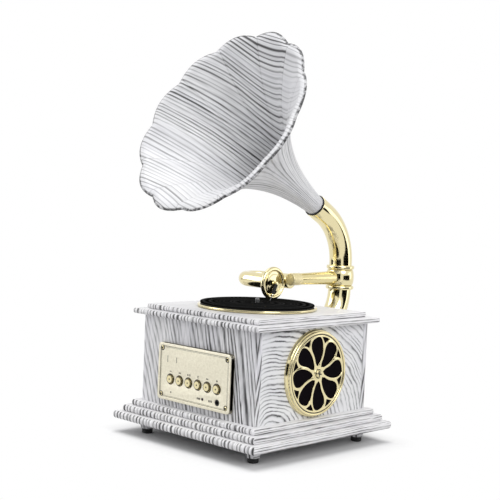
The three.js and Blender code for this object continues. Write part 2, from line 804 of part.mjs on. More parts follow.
function grilleGeometry() {
  const innerRadius = grilleRadius - grilleRimWidth;
  const ledgeRadius = grilleRadius - grilleSkirtWidth;
  const disc = new THREE.Shape(circlePoints(innerRadius + grilleRimWidth / 2, discSides));
  const pitch = 2 * Math.PI / grillePetalCount;
  for (let i = 0; i < grillePetalCount; i += 1) {
    disc.holes.push(petalOutline(i * pitch));
    disc.holes.push(cornerOutline(i * pitch));
  }
  const rim = turnedRing([
    [innerRadius, 0], [grilleRadius, 0], [grilleRadius, grilleSkirtHeight - grilleSkirtStep],
    [grilleRadius - grilleSkirtStep, grilleSkirtHeight], [ledgeRadius, grilleSkirtHeight],
    [ledgeRadius - grilleSkirtStep, grilleRimHeight - grilleRimDrop],
    [innerRadius + grilleRimDrop, grilleRimHeight], [innerRadius, grilleRimHeight - grilleRimDrop],
  ], discSides);
  const plateFrontZ = grillePlateRise + grillePlateThickness;
  const hub = turned([
    [0, grillePlateRise], [grilleHubRadius, grillePlateRise],
    [grilleHubRadius, plateFrontZ + grilleHubKnobRadius / 4],
    [grilleHubKnobRadius, plateFrontZ + grilleHubHeight / 2],
    [grilleHubKnobRadius, plateFrontZ + grilleHubHeight], [0, plateFrontZ + grilleHubHeight],
  ], pinSides);
  return carve([plate(disc, grillePlateThickness).translate(0, 0, grillePlateRise), rim, hub]);
}

// Speaker behind each grille: cloth, basket with its magnet, and cone
function basketProfile() {
  const seatZ = -wallThickness - 2 * seatGap;
  const flangeBackZ = seatZ - speakerFlangeThickness;
  const basketBackZ = flangeBackZ - speakerBasketDepth;
  const ledgeZ = seatZ - speakerLedgeDepth;
  const mouth = speakerConeRadius + fitGap;
  const waist = speakerMagnetRadius - speakerBasketWallThickness;
  return [
    [0, basketBackZ - speakerMagnetHeight], [speakerMagnetRadius, basketBackZ - speakerMagnetHeight],
    [speakerMagnetRadius, basketBackZ], [mouth + speakerBasketWallThickness, flangeBackZ],
    [speakerFlangeRadius, flangeBackZ], [speakerFlangeRadius, seatZ], [mouth, seatZ], [mouth, ledgeZ],
    [mouth - speakerLedgeWidth, ledgeZ], [waist, basketBackZ + speakerBasketWallThickness],
    [0, basketBackZ + speakerBasketWallThickness],
  ];
}

function coneProfile() {
  const rimZ = -wallThickness - 2 * seatGap - speakerLedgeDepth + seatGap;
  const surround = speakerConeRadius - speakerLedgeWidth;
  const bottomZ = rimZ - speakerConeDepth;
  const thick = speakerConeThickness;
  return [
    [0, bottomZ + speakerCapRise], [speakerCapRadius / 2, bottomZ + speakerCapRise - thick],
    [speakerCapRadius, bottomZ], [surround, rimZ], [speakerConeRadius, rimZ], [speakerConeRadius, rimZ + thick],
    [surround - thick, rimZ + thick], [speakerCapRadius, bottomZ + 2 * thick],
    [speakerCapRadius / 2, bottomZ + speakerCapRise + thick], [0, bottomZ + speakerCapRise + 2 * thick],
  ];
}

function addSpeaker(side, face) {
  addPiece(`${side}_grille`, grilleGeometry(), gold, face);
  const clothRadius = grilleRadius - grilleRimWidth - speakerClothGap;
  const clothZ = grillePlateRise - seatGap - speakerClothThickness;
  const cloth = rod(clothRadius, clothZ, speakerClothThickness, discSides);
  addPiece(`${side}_grille_cloth`, cloth, clothBlack, face);
  addPiece(`${side}_speaker_basket`, turned(basketProfile(), drumSides), steel, face);
  addPiece(`${side}_speaker_cone`, turned(coneProfile(), drumSides), conePaper, face);
}

// Turntable: motor under the top, spindle, platter, mat and record
function addTurntable() {
  const motorTopZ = topLowerZ - seatGap;
  const socketZ = motorTopZ - motorSocketDepth;
  const can = rod(motorRadius, motorTopZ - motorHeight, motorHeight, drumSides);
  const ears = block(2 * motorEarReach, motorEarWidth, motorEarThickness, motorTopZ - motorEarThickness);
  const socket = rod(spindleRadius + fitGap, socketZ, motorSocketDepth + cutOverrun, knobSides);
  const earHoles = [-1, 1].map((sign) =>
    rod(motorEarHoleRadius, motorTopZ - motorEarThickness - cutOverrun, motorEarThickness + 2 * cutOverrun, pinSides)
      .translate(sign * (motorEarReach - motorEarWidth / 2 + motorEarHoleRadius / 2), 0, 0));
  addPiece('turntable_motor', carve([can, ears], [socket, ...earHoles]), steel);

  const flangeTopZ = platterZ - seatGap;
  const pinTopZ = recordTopZ + spindlePinProud;
  const spindle = turned([
    [0, socketZ + fitGap], [spindleRadius, socketZ + fitGap], [spindleRadius, flangeTopZ - spindleFlangeThickness],
    [spindleFlangeRadius, flangeTopZ - spindleFlangeThickness], [spindleFlangeRadius, flangeTopZ],
    [spindlePinRadius, flangeTopZ], [spindlePinRadius, pinTopZ - spindlePinRadius],
    [spindlePinRadius / 2, pinTopZ], [0, pinTopZ],
  ], knobSides);
  addPiece('spindle', spindle, steel);

  const disc = (radius, thickness, edge, z) => turnedRing([
    [spindlePinRadius + fitGap, z], [radius - edge, z], [radius, z + edge], [radius, z + thickness - edge],
    [radius - edge, z + thickness], [spindlePinRadius + fitGap, z + thickness],
  ], discSides);
  addPiece('platter', disc(platterRadius, platterThickness, platterEdge, platterZ), gold);
  addPiece('slip_mat', disc(slipMatRadius, slipMatThickness, recordEdge, slipMatZ), blackRubber);
  addPiece('record', disc(recordRadius, recordThickness, recordEdge, recordZ), recordBlack);
}

// Horn post: flange, bent pipe, bead and spigot, all hollow for the horn's wires
function beadRing(z) {
  const chamfer = beadHeight / 4;
  return turned([
    [0, z], [beadRadius - chamfer, z], [beadRadius, z + chamfer], [beadRadius, z + beadHeight - chamfer],
    [beadRadius - chamfer, z + beadHeight], [0, z + beadHeight],
  ], drumSides);
}

function addPost() {
  const wallFaceY = cabinetWidth / 2 + seatGap;
  const start = new THREE.Vector3(0, wallFaceY, 0);
  const bend = [{ length: postStraight - seatGap }, { radius: postBendRadius, turn: quarterTurn }];
  const outerPath = new BentPath(start, yAxis, zAxis, [...bend, { length: beadHeight / 2 }]);
  const innerPath = new BentPath(start, yAxis, zAxis, [...bend, { length: beadHeight + postSpigotHeight + cutOverrun }]);
  const spigotBore = pipeBoreRadius - fitGap - pipeWallThickness;
  const toBack = (geometry) => geometry.rotateX(-quarterTurn).translate(0, wallFaceY, 0);
  const flange = toBack(rod(postFlangeRadius, 0, postFlangeThickness, drumSides));
  const stub = toBack(rod(postStubRadius, -postStubLength, postStubLength + postFlangeThickness, knobSides));
  const boreLength = postStubLength + postFlangeThickness + 2 * cutOverrun;
  const stubBore = toBack(rod(postStubBore, -postStubLength - cutOverrun, boreLength, pinSides));
  const bead = beadRing(postBendRadius).translate(0, postY, 0);
  const spigot = rod(pipeBoreRadius - fitGap, postBendRadius, beadHeight + postSpigotHeight, pipeSides)
    .translate(0, postY, 0);
  const outer = sweep(outerPath, pipeRadius, pipeSides, outerPath.steps);
  const inner = sweep(innerPath, spigotBore, pipeSides, innerPath.steps);
  const pipe = carve([outer, bead, spigot], [inner]);
  const root = carve([flange, stub], [stubBore]);
  addPiece('horn_post', carve([pipe, root]), gold).position.z = postFlangeZ;

  const nutFaceY = cabinetWidth / 2 - wallThickness - seatGap;
  const nut = carve([rod(postNutAcross / 2 / Math.cos(Math.PI / postNutSides), 0, postNutThickness, postNutSides)],
    [rod(postStubRadius + fitGap, -cutOverrun, postNutThickness + 2 * cutOverrun, knobSides)])
    .rotateX(quarterTurn).translate(0, nutFaceY, postFlangeZ);
  addPiece('post_nut', nut, steel);
}

// Tonearm: collar on the post, tapered tube and the end block with its pivot pin
function addTonearm() {
  const boreRadius = pipeBoreRadius;
  const middle = collarHeight / 2;
  const quarter = collarHeight / 4;
  const shoulder = (collarEndRadius + 2 * collarBulgeRadius) / 3;
  const sleeve = turnedRing([
    [boreRadius, 0], [collarEndRadius, 0], [shoulder, quarter], [collarBulgeRadius, middle],
    [shoulder, collarHeight - quarter], [collarEndRadius, collarHeight], [boreRadius, collarHeight],
  ], drumSides);
  const socketFaceY = -collarBulgeRadius + armSocketDepth;
  const socket = rod(armRootRadius + fitGap, 0, collarBulgeRadius, knobSides)
    .rotateX(quarterTurn).translate(0, socketFaceY, middle - armDrop);
  addPiece('tonearm_collar', carve([sleeve], [socket]), gold).position.set(0, postY, collarZ);

  const rootY = socketFaceY - seatGap;
  const tubeLength = rootY + armReach;
  const tube = turnedRing([
    [armBoreRadius, 0], [armRootRadius, 0], [armTipRadius, tubeLength], [armBoreRadius, tubeLength],
  ], drumSides).rotateX(quarterTurn).translate(0, postY + rootY, armZ);
  addPiece('tonearm_tube', tube, gold);

  const endBlock = turned([
    [0, -armEndSpigotLength], [armBoreRadius - fitGap, -armEndSpigotLength], [armBoreRadius - fitGap, seatGap],
    [armEndRadius, seatGap], [armEndRadius, armEndLength - armEndEdge],
    [armEndRadius - armEndEdge, armEndLength], [0, armEndLength],
  ], drumSides).rotateX(quarterTurn).translate(0, armTubeEndY, armZ);
  const pin = rod(pivotPinRadius, 0, armEndRadius + pivotPinLength, knobSides)
    .rotateY(-quarterTurn).translate(0, pivotY, pivotZ);
  addPiece('tonearm_end_block', carve([endBlock, pin]), gold);
}

// Gooseneck: a U of tube that turns on the pivot pin and carries the soundbox
const gooseneckStartX = -armEndRadius - fitGap;
const gooseneckTurnX = gooseneckStartX - gooseneckFarLeg;
const soundboxBackX = gooseneckTurnX + gooseneckNearLeg;
const soundboxY = pivotY - 2 * gooseneckBendRadius;
const soundboxZ = pivotZ - soundboxDrop;

function addGooseneck() {
  const start = new THREE.Vector3(gooseneckStartX, pivotY, pivotZ);
  const back = xAxis.clone().negate();
  const side = yAxis.clone().negate();
  const path = new BentPath(start, back, side, [
    { length: gooseneckFarLeg },
    { radius: gooseneckBendRadius, turn: 2 * quarterTurn },
    { length: gooseneckNearLeg },
  ]);
  const outer = sweep(path, gooseneckRadius, gooseneckSides, path.steps);
  const boreRadius = pivotPinRadius + fitGap;
  const boreLength = pivotPinLength + cutOverrun + fitGap;
  const pinBore = rod(boreRadius, 0, boreLength, knobSides).rotateY(-quarterTurn)
    .translate(gooseneckStartX + cutOverrun, pivotY, pivotZ);
  const spigotBore = rod(boreRadius, 0, boreLength, knobSides).rotateY(-quarterTurn)
    .translate(soundboxBackX + cutOverrun, soundboxY, pivotZ);
  addPiece('gooseneck', carve([outer], [pinBore, spigotBore]), gold);
}

// Soundbox: a drum across the arm with a domed diaphragm, a stylus bar and a needle
function addSoundbox() {
  const bodyBackZ = soundboxBossLength;
  const frontZ = bodyBackZ + soundboxThickness;
  const recessRadius = soundboxRadius - soundboxRimWidth;
  const recessZ = frontZ - soundboxRecess;
  const drum = turned([
    [0, bodyBackZ - seatGap], [soundboxRadius - soundboxEdge, bodyBackZ - seatGap],
    [soundboxRadius, bodyBackZ + soundboxEdge], [soundboxRadius, frontZ - soundboxEdge],
    [soundboxRadius - soundboxEdge, frontZ], [recessRadius, frontZ], [recessRadius, recessZ], [0, recessZ],
  ], drumSides);
  const boss = rod(soundboxBossRadius, 0, bodyBackZ, knobSides).translate(-soundboxDrop, 0, 0);
  const spigot = rod(pivotPinRadius, -soundboxSpigotLength, soundboxSpigotLength + bodyBackZ, knobSides)
    .translate(-soundboxDrop, 0, 0);
  const place = (mesh) => {
    mesh.rotation.y = quarterTurn;
    mesh.position.set(soundboxBackX + seatGap, soundboxY, soundboxZ);
  };
  place(addPiece('soundbox_body', carve([drum, boss, spigot]), gold));

  const domeRadius = recessRadius - fitGap;
  const diaphragmZ = recessZ + seatGap;
  const diaphragm = turned([
    [0, diaphragmZ], [domeRadius, diaphragmZ], [domeRadius, diaphragmZ + diaphragmThickness],
    [domeRadius / 2, diaphragmZ + diaphragmThickness + diaphragmDome / 2],
    [0, diaphragmZ + diaphragmThickness + diaphragmDome],
  ], drumSides);
  place(addPiece('soundbox_diaphragm', diaphragm, gold));
  addNeedle(diaphragmZ + diaphragmThickness + diaphragmDome);
}

// The stylus bar runs from the diaphragm's middle down its slant, and the needle reaches on from its clamp
function addNeedle(domeTopZ) {
  const slant = needleSlant * degree;
  const barZ = domeTopZ + seatGap + needleBarStandOff + needleBarRadius;
  const barX = soundboxBackX + seatGap + barZ;
  const tipDrop = soundboxZ - recordTopZ - needleClearance;
  const reach = tipDrop / Math.cos(slant);
  const along = (geometry) => {
    geometry.rotateX(Math.PI - slant).translate(barX, soundboxY, soundboxZ);
    return geometry;
  };
  const bar = along(rod(needleBarRadius, 0, needleBarLength, pinSides));
  const clamp = along(rod(needleClampRadius, needleBarLength - needleClampLength, needleClampLength, pinSides));
  const stud = rod(needleBarBossRadius, 0, needleBarStandOff + 2 * needleBarRadius, pinSides)
    .rotateY(quarterTurn).translate(barX - needleBarRadius - needleBarStandOff, soundboxY, soundboxZ);
  const needleStart = needleBarLength + seatGap;
  const needle = along(turned([
    [0, needleStart], [needleRadius, needleStart], [needleRadius, (needleStart + reach) / 2],
    [needleTipRadius, reach], [0, reach],
  ], pinSides));
  addPiece('needle_bar', carve([bar, clamp, stud]), gold);
  addPiece('needle', needle, steel);
}

// Horn elbow: the upper bead and the pipe that bends towards the front
const elevation = hornElevation * degree;
const elbowTurn = quarterTurn - elevation;
const forward = yAxis.clone().negate();

function elbowRuns(extra) {
  return [
    { length: elbowRise + extra },
    { radius: elbowBendRadius, turn: elbowTurn },
    { length: elbowRunLength + extra },
  ];
}

function addElbow() {
  const outerPath = new BentPath(new THREE.Vector3(), zAxis, forward, elbowRuns(0));
  const innerPath = new BentPath(new THREE.Vector3(0, 0, -cutOverrun), zAxis, forward, elbowRuns(cutOverrun));
  const outer = sweep(outerPath, pipeRadius, pipeSides, outerPath.steps);
  const inner = sweep(innerPath, pipeBoreRadius, pipeSides, innerPath.steps);
  const elbow = addPiece('horn_elbow', carve([outer, beadRing(0)], [inner]), gold);
  elbow.position.set(0, postY, elbowZ);
}

// The horn's own frame has its axis along Z from the elbow's mouth to the bell
function hornGroup() {
  const group = new THREE.Group();
  const mouthY = postY - elbowBendRadius * (1 - Math.cos(elbowTurn)) - elbowRunLength * Math.cos(elevation);
  const mouthZ = elbowZ + elbowRise + elbowBendRadius * Math.sin(elbowTurn) + elbowRunLength * Math.sin(elevation);
  group.position.set(0, mouthY, mouthZ);
  group.rotation.x = elbowTurn;
  recordPlayer.add(group);
  return group;
}

// Points of radius and place along the axis on the horn's outer face, and the face's slope there
function hornRows() {
  const throat = pipeBoreRadius - fitGap;
  const growth = hornFlareRadius - throat - hornTaperRadius;
  const rows = [{ along: -hornNeckLength, radius: throat, slope: 0 }];
  for (const share of [...hornRowShares, 1]) {
    const rise = hornTaperRadius + growth * hornFlarePower * share ** (hornFlarePower - 1);
    rows.push({
      along: share * hornLength,
      radius: throat + hornTaperRadius * share + growth * share ** hornFlarePower,
      slope: share === 0 ? 0 : Math.atan(rise / hornLength),
    });
  }
  const flareEnd = rows[rows.length - 1];
  const backRadius = hornLipRadius - hornWallThickness;
  for (let i = 1; i <= hornLipSteps; i += 1) {
    const slope = flareEnd.slope + (i / hornLipSteps) * hornLipTurn * degree;
    rows.push({
      along: flareEnd.along + backRadius * (Math.sin(slope) - Math.sin(flareEnd.slope)),
      radius: flareEnd.radius + backRadius * (Math.cos(flareEnd.slope) - Math.cos(slope)),
      slope,
    });
  }
  return rows;
}

// One closed skin: the rows of the outer face out to the lip, then the inner face back to the neck
function hornGeometry() {
  const outer = hornRows();
  const inner = outer.map(({ along, radius, slope }) => ({
    along: along + hornWallThickness * Math.sin(slope),
    radius: radius - hornWallThickness * Math.cos(slope),
  })).reverse();
  const rows = [...outer, ...inner];
  const sides = hornPetalCount * hornPetalSteps;
  const positions = [];
  for (const { along, radius } of rows) {
    const fade = THREE.MathUtils.clamp(along / hornPetalFadeLength, 0, 1);
    for (let i = 0; i < sides; i += 1) {
      const angle = (i / sides) * 2 * Math.PI;
      const lobe = Math.abs(Math.sin(angle * hornPetalCount / 2));
      const reach = radius * (1 + hornPetalShare * fade * lobe);
      const lead = hornPetalLeadLength * lobe * (radius / hornFlareRadius) ** 2;
      positions.push(reach * Math.cos(angle), reach * Math.sin(angle), along + lead);
    }
  }
  const order = [];
  for (let j = 0; j < rows.length; j += 1) {
    const next = (j + 1) % rows.length;
    for (let i = 0; i < sides; i += 1) {
      const beside = (i + 1) % sides;
      const [a, b, c, d] = [j * sides + i, j * sides + beside, next * sides + beside, next * sides + i];
      order.push(a, b, c, a, c, d);
    }
  }
  const geometry = new THREE.BufferGeometry();
  geometry.setAttribute('position', new THREE.Float32BufferAttribute(positions, 3));
  geometry.setIndex(order);
  return geometry.rotateZ(hornClocking * degree);
}

function addHorn() {
  const group = hornGroup();
  addPiece('horn_bell', hornGeometry(), woodFilm, group);
  const seal = turnedRing([
    [pipeBoreRadius, seatGap], [sealRingRadius, seatGap], [sealRingRadius, seatGap + sealRingThickness],
    [pipeBoreRadius, seatGap + sealRingThickness],
  ], drumSides);
  addPiece('horn_seal_ring', seal, blackRubber, group);
}

// Power inlet: a flanged socket with a centre pin
function addInlet() {
  const body = rod(inletBodyRadius, -inletBodyLength, inletBodyLength + inletFlangeThickness / 2, knobSides);
  const flange = rod(inletFlangeRadius, 0, inletFlangeThickness, knobSides);
  const boreFloorZ = inletFlangeThickness - inletBoreDepth;
  const bore = rod(inletBoreRadius, boreFloorZ, inletBoreDepth + cutOverrun, pinSides);
  const pin = rod(inletPinRadius, boreFloorZ - seatGap, inletPinLength, pinSides);
  const inlet = toSolid(carve([body, flange], [bore])).add(toSolid(pin));
  const placed = toGeometry(inlet).rotateX(-quarterTurn)
    .translate(inletOffset, cabinetWidth / 2 + seatGap, cabinetZ + inletRise);
  addPiece('power_inlet', placed, blackPlastic);
}

addBase();
addAmplifier();
addFeet();
addWalls();
addTop();
const panelFace = wallGroup(0, cabinetZ + panelRise);
addControlPanel(panelFace);
addPanelScrews(panelFace);
addButtons(panelFace);
addControlBoard(panelFace);
addJackAndLamp(panelFace);
addSpeaker('right', wallGroup(quarterTurn, cabinetZ + grilleRise));
addSpeaker('left', wallGroup(-quarterTurn, cabinetZ + grilleRise));
addTurntable();
addPost();
addTonearm();
addGooseneck();
addSoundbox();
addElbow();
addHorn();
addInlet();

export default recordPlayer;
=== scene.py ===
import json
from math import atan2, cos, pi, radians, sin, sqrt

import bmesh
import bpy
from mathutils import Matrix, Vector


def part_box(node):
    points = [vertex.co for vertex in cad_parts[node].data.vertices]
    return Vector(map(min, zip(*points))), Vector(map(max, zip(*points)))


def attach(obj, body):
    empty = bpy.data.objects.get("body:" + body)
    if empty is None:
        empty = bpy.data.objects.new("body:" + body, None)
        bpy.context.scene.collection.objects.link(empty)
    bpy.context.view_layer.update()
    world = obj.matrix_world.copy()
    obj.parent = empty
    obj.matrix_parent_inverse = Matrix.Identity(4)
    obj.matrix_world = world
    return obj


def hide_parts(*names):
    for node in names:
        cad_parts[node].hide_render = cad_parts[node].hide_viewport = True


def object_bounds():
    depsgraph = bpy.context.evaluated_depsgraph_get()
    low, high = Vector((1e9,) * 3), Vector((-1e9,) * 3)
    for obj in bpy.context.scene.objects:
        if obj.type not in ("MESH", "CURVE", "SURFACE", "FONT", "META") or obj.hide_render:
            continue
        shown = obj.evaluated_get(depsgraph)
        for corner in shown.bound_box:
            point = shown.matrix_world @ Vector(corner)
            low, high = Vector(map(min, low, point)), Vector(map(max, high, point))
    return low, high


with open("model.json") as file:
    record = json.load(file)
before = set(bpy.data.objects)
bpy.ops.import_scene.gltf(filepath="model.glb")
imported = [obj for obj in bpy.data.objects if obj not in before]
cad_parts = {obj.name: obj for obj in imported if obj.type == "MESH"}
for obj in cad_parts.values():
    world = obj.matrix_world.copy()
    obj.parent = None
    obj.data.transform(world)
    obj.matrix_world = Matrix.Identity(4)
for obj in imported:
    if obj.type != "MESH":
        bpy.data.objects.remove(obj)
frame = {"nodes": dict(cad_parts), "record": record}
cad_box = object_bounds()
record = frame["record"]
scene = bpy.context.scene
scene.view_settings.view_transform = "Standard"

# Sizes are in millimetres here, as in the drawing, and become metres when a piece is finished.
MM = 0.001
FULL_TURN = 2 * pi
QUARTER_TURN = pi / 2
X, Y, Z = Vector((1, 0, 0)), Vector((0, 1, 0)), Vector((0, 0, 1))
JOINT_GAP = 0.05

# The view that matches the photo: its place, its azimuth, elevation and roll, and its lens.
CAMERA_PLACE = Vector((747.8, -776.2, 229.35))
CAMERA_TURN = radians(44.44), radians(2.93), radians(2.40)
CAMERA_SENSOR, CAMERA_LENS = 36.0, 77.72
CAMERA_CLIP = 0.05, 20.0

# Soft lamps: place, aim, width and height in metres, and power in watts.
LAMPS = [
    ("key_softbox", (1.6, -0.45, 1.15), (0, 0, 0.18), 1.0, 1.0, 16.5),
    ("top_softbox", (-0.15, -0.1, 1.75), (0, 0, 0.15), 1.3, 1.3, 11.5),
    ("fill_softbox", (-1.3, -1.3, 1.0), (0, 0, 0.15), 1.2, 1.0, 9),
]
# Cards beside the set: place, aim, width and height in metres, and glow. Those with no glow are dark.
CARDS = [
    ("card_front", (0.07, -0.7, 0.165), (0, 0.127, 0.165), 0.67, 0.35, 0.0),
    ("card_camera", (0.48, -0.55, 0.165), (0, 0.127, 0.165), 0.24, 0.35, 0.0),
    ("card_right", (0.75, 0.22, 0.1), (0, 0.127, 0.1), 0.86, 0.22, 0.0),
    ("card_left", (-0.66, -0.34, 0.08), (0, 0.05, 0.1), 0.5, 0.07, 0.0),
    ("card_grille", (1.1, 1.05, 0.15), (0.08, 0, 0.06), 0.9, 0.8, 1.8),
    ("card_panel", (-1.25, -1.15, 0.2), (0, -0.08, 0.06), 0.7, 0.9, 3.1),
]
WHITE = (1, 1, 1, 1)
CARD_TONE = (0.004, 0.004, 0.003, 1)
SKY_TONE, SKY_STRENGTH = (0.98, 0.985, 1, 1), 0.48
FLOOR_TONE, FLOOR_HALF = (0.62, 0.62, 0.63, 1), 6.0
# Half the footprint, how far the shadow painted round it reaches past it, and where the floor has turned
# white, in metres.
FOOTPRINT_HALF, PAINTED_SHADOW_REACH, WHITE_REACH = 0.093, 0.012, 0.035
# The floor's colour under the footprint: a painted shadow that fades out over its reach.
FOOTPRINT_PAINTED_SHADOW_TONE = 0.75

BOARD_CORNER, BOARD_EDGE_SHARE = 3.4, 0.4
EDGE_SQUEEZE = 2.2
# How strong the print is on a board's top, on its right and left edges, and on its front and back edges. The
# top and the right and left edges get fainter print as painted light, so they read lighter, as if lit.
PAINTED_LIGHT_TOP_PRINT, PAINTED_LIGHT_SIDE_PRINT, PRINT_ON_FRONT = 0.22, 0.75, 1.0
LOWER_TOP_BORE, UPPER_TOP_BORE = 3.3, 8.3
COVER_PROUD, COVER_CORNER = 0.03, 5.0
COVER_SCREW_INSET, COVER_SCREW_RADIUS = 7.0, 2.8
FOOT_PLACE = 74.5
FOOT_TOP_RADIUS, FOOT_LOW_RADIUS, FOOT_LOW_Z = 8.3, 6.1, -9.35
PAD_RADIUS, PAD_TOP_Z, PAD_LOW_Z = 5.4, -9.4, -14.05
CABINET_HALF = 78.8
CABINET_FACE = CABINET_HALF + JOINT_GAP

PANEL_WIDTH, PANEL_HEIGHT, PANEL_CORNER = 101.0, 55.5, 3.8
PANEL_FIELD, PANEL_DEPTH, PANEL_FRAME = 4.5, 5.0, 2.7
PANEL_MIDDLE_Z = 54.15
PANEL_SCREW_INSET, PANEL_SCREW_RADIUS = 5.1, 1.8
BUTTON_PITCH, BUTTON_DROP = 13.0, 6.7
BUTTON_RADIUS, BUTTON_PROUD, BUTTON_GAP = 4.0, 1.6, 0.5
BUTTON_STEM_RADIUS, BUTTON_BACK = 1.6, -3.2
BUTTON_FLANGE_RADIUS, BUTTON_FLANGE_LOW, BUTTON_FLANGE_HIGH = 5.2, 0.8, 2.0
JACK_PLACE, JACK_HOLE = (33.4, -19.3), 3.1
LAMP_PLACE, LAMP_HOLE = (13.3, -19.3), 1.5
# Marks on the panel: printed signs over the buttons, rings of painted shade round the buttons and screws, two
# printed strokes above, a dot, strokes by the sockets, and two lines of painted shade inside the rim, each
# with its inset and its width.
MARK_THICKNESS = 0.04
SIGN_LIFT, SIGN_WIDTH, SIGN_STROKE, SIGN_FINE_WIDTH, SIGN_FINE_STROKE = 7.6, 2.4, 0.7, 2.2, 0.6
BUTTON_SHADE_RING, SCREW_SHADE_RING_RADIUS = 1.4, 2.8
UPPER_STROKES, UPPER_STROKE_Y = ((-37.4, 6.5), (-24.5, 5.5)), 12.6
DOT_PLACE, DOT_SIZE = (-31.3, -19.4), 1.5
SOCKET_STROKES, SOCKET_STROKE_SIZE = (6.6, 8.4, 10.0, 22.6, 24.4, 26.2), (1.2, 2.0)
PANEL_SHADE_LINES, PANEL_SHADE_LINE_GAP, PANEL_SHADE_LINE_CORNER = ((0, 0.8), (2.2, 0.5)), 0.3, 2.8

GRILLE_RADIUS, GRILLE_HEIGHT, GRILLE_RIM = 42.0, 6.0, 5.6
GRILLE_INNER = GRILLE_RADIUS - GRILLE_RIM
GRILLE_MIDDLE_Z = 62.25
GRILLE_PLATE_BACK, GRILLE_PLATE_FRONT, GRILLE_PLATE_OVERLAP = 3.7, 5.3, 0.45
RIM_EDGE, RIM_STEP, RIM_INNER_HEIGHT = 0.6, 3.4, 5.5
RIM_CONE_RADIUS, RIM_CROWN_FOOT, RIM_CROWN_RADIUS = 41.0, 40.3, 40.2
RIM_GROOVE_INNER, RIM_GROOVE_OUTER = 37.0, 37.9
# Painted shade in the rim's groove: inner and outer radius, and the heights it starts and ends at.
GROOVE_PAINTED_SHADE = (36.9, 38.1, 3.3, 5.1)
HUB_RADIUS, HUB_BUTTON_RADIUS, HUB_BUTTON_TOP_RADIUS, HUB_SHADE_RING_RADIUS = 5.4, 3.7, 3.4, 4.6
HUB_FOOT, HUB_HEIGHT, HUB_BUTTON_HEIGHT, HUB_CROWN_HEIGHT = 3.8, 0.5, 1.9, 2.1
HUB_SLOT_REACH, HUB_SLOT_WIDTH = 5.6, 1.3
PETALS, PETAL_TIP, PETAL_WEB = 8, 34.7, 1.7
# A petal's middle line and a corner opening's outline: share of the reach, and angle in degrees.
PETAL_LINE = [(0.21, 12), (0.41, 2.6), (0.6, 2.6), (0.81, 5.8), (1, 8.6)]
CORNER_LINE = [(0.97, 20), (0.975, 26), (0.975, 32), (0.97, 38),
               (0.885, 33.5), (0.81, 28.7), (0.885, 24.6)]

PLATTER_RADIUS, PLATTER_Z, PLATTER_THICKNESS = 60.0, 117.15, 2.4
MAT_RADIUS, MAT_Z, MAT_THICKNESS = 57.0, 119.6, 0.8
RECORD_RADIUS, RECORD_Z, RECORD_THICKNESS = 57.5, 120.45, 1.5
RECORD_TOP_Z = RECORD_Z + RECORD_THICKNESS
DISC_BORE = 2.4
SPINDLE_BOTTOM, SPINDLE_TOP = 97.85, 126.95
SPINDLE_RADIUS, SPINDLE_FLANGE_RADIUS, SPINDLE_PIN_RADIUS = 3.0, 8.0, 2.1
SPINDLE_FLANGE_LOW, SPINDLE_FLANGE_HIGH = 115.1, 117.1

PIPE_RADIUS, PIPE_WALL = 12.25, 1.6
POST_Y, POST_TOP_Z = 127.4, 131.35
POST_RUN, POST_BEND = 2.55, 46.0
POST_FLANGE_Z, POST_FLANGE_RADIUS, POST_FLANGE_HEIGHT = 85.35, 20.0, 3.5
POST_BORE, STUB_RADIUS, STUB_LENGTH = 5.0, 8.0, 19.0
SPIGOT_BORE, SPIGOT_RADIUS, SPIGOT_TOP_Z = 8.7, 10.35, 157.5
BEAD_RADIUS, BEAD_HEIGHT, BEAD_ROUND = 15.0, 4.2, 1.5
COLLAR_Z, COLLAR_HEIGHT = 135.85, 17.0
COLLAR_BORE, COLLAR_EDGE, COLLAR_RADIUS, COLLAR_BULGE = 10.65, 12.9, 13.0, 2.0
ARM_Z, ARM_ROOT_Y, ARM_END_Y = 143.85, 114.75, 61.0
ARM_BORE, ARM_ROOT_RADIUS, ARM_END_RADIUS = 4.3, 7.35, 5.95
ARM_PLUG_RADIUS, ARM_PLUG_LENGTH, ARM_BLOCK_RADIUS, ARM_BLOCK_LENGTH = 4.0, 6.0, 6.4, 14.0
PIVOT_Y, PIVOT_Z, PIVOT_RADIUS, PIVOT_LENGTH = 56.0, 141.05, 3.4, 17.4
GOOSENECK_RADIUS, GOOSENECK_BEND = 7.7, 12.5
GOOSENECK_START_X, GOOSENECK_TURN_X, GOOSENECK_END_X = -6.7, -42.8, -14.0
SOUNDBOX_Y, SOUNDBOX_Z = 31.0, 139.55
SOUNDBOX_RADIUS, SOUNDBOX_BACK, SOUNDBOX_FRONT = 17.0, 2.75, 7.2
SOUNDBOX_WELL_RADIUS, SOUNDBOX_WELL_DEPTH = 12.9, 1.2
BOSS_RADIUS, BOSS_SPIGOT_RADIUS, BOSS_SPIGOT_LENGTH, BOSS_SHIFT = 8.4, 3.4, 6.0, 1.5
DOME_RADIUS, DOME_CROWN_RADIUS, DOME_CROWN_RISE, DOME_RISE = 11.8, 8.6, 1.05, 2.2
NEEDLE_SLANT = radians(27)
NEEDLE_BAR_RADIUS, NEEDLE_BAR_LENGTH, NEEDLE_CHUCK_RADIUS, NEEDLE_CHUCK_END = 1.1, 12.0, 1.9, 13.8
NEEDLE_SLEEVE_RADIUS, NEEDLE_SLEEVE_START = 1.8, 1.2
NEEDLE_STUD_RADIUS, NEEDLE_STUD_HEIGHT = 2.2, 3.2
NEEDLE_TIP_GAP = 0.45

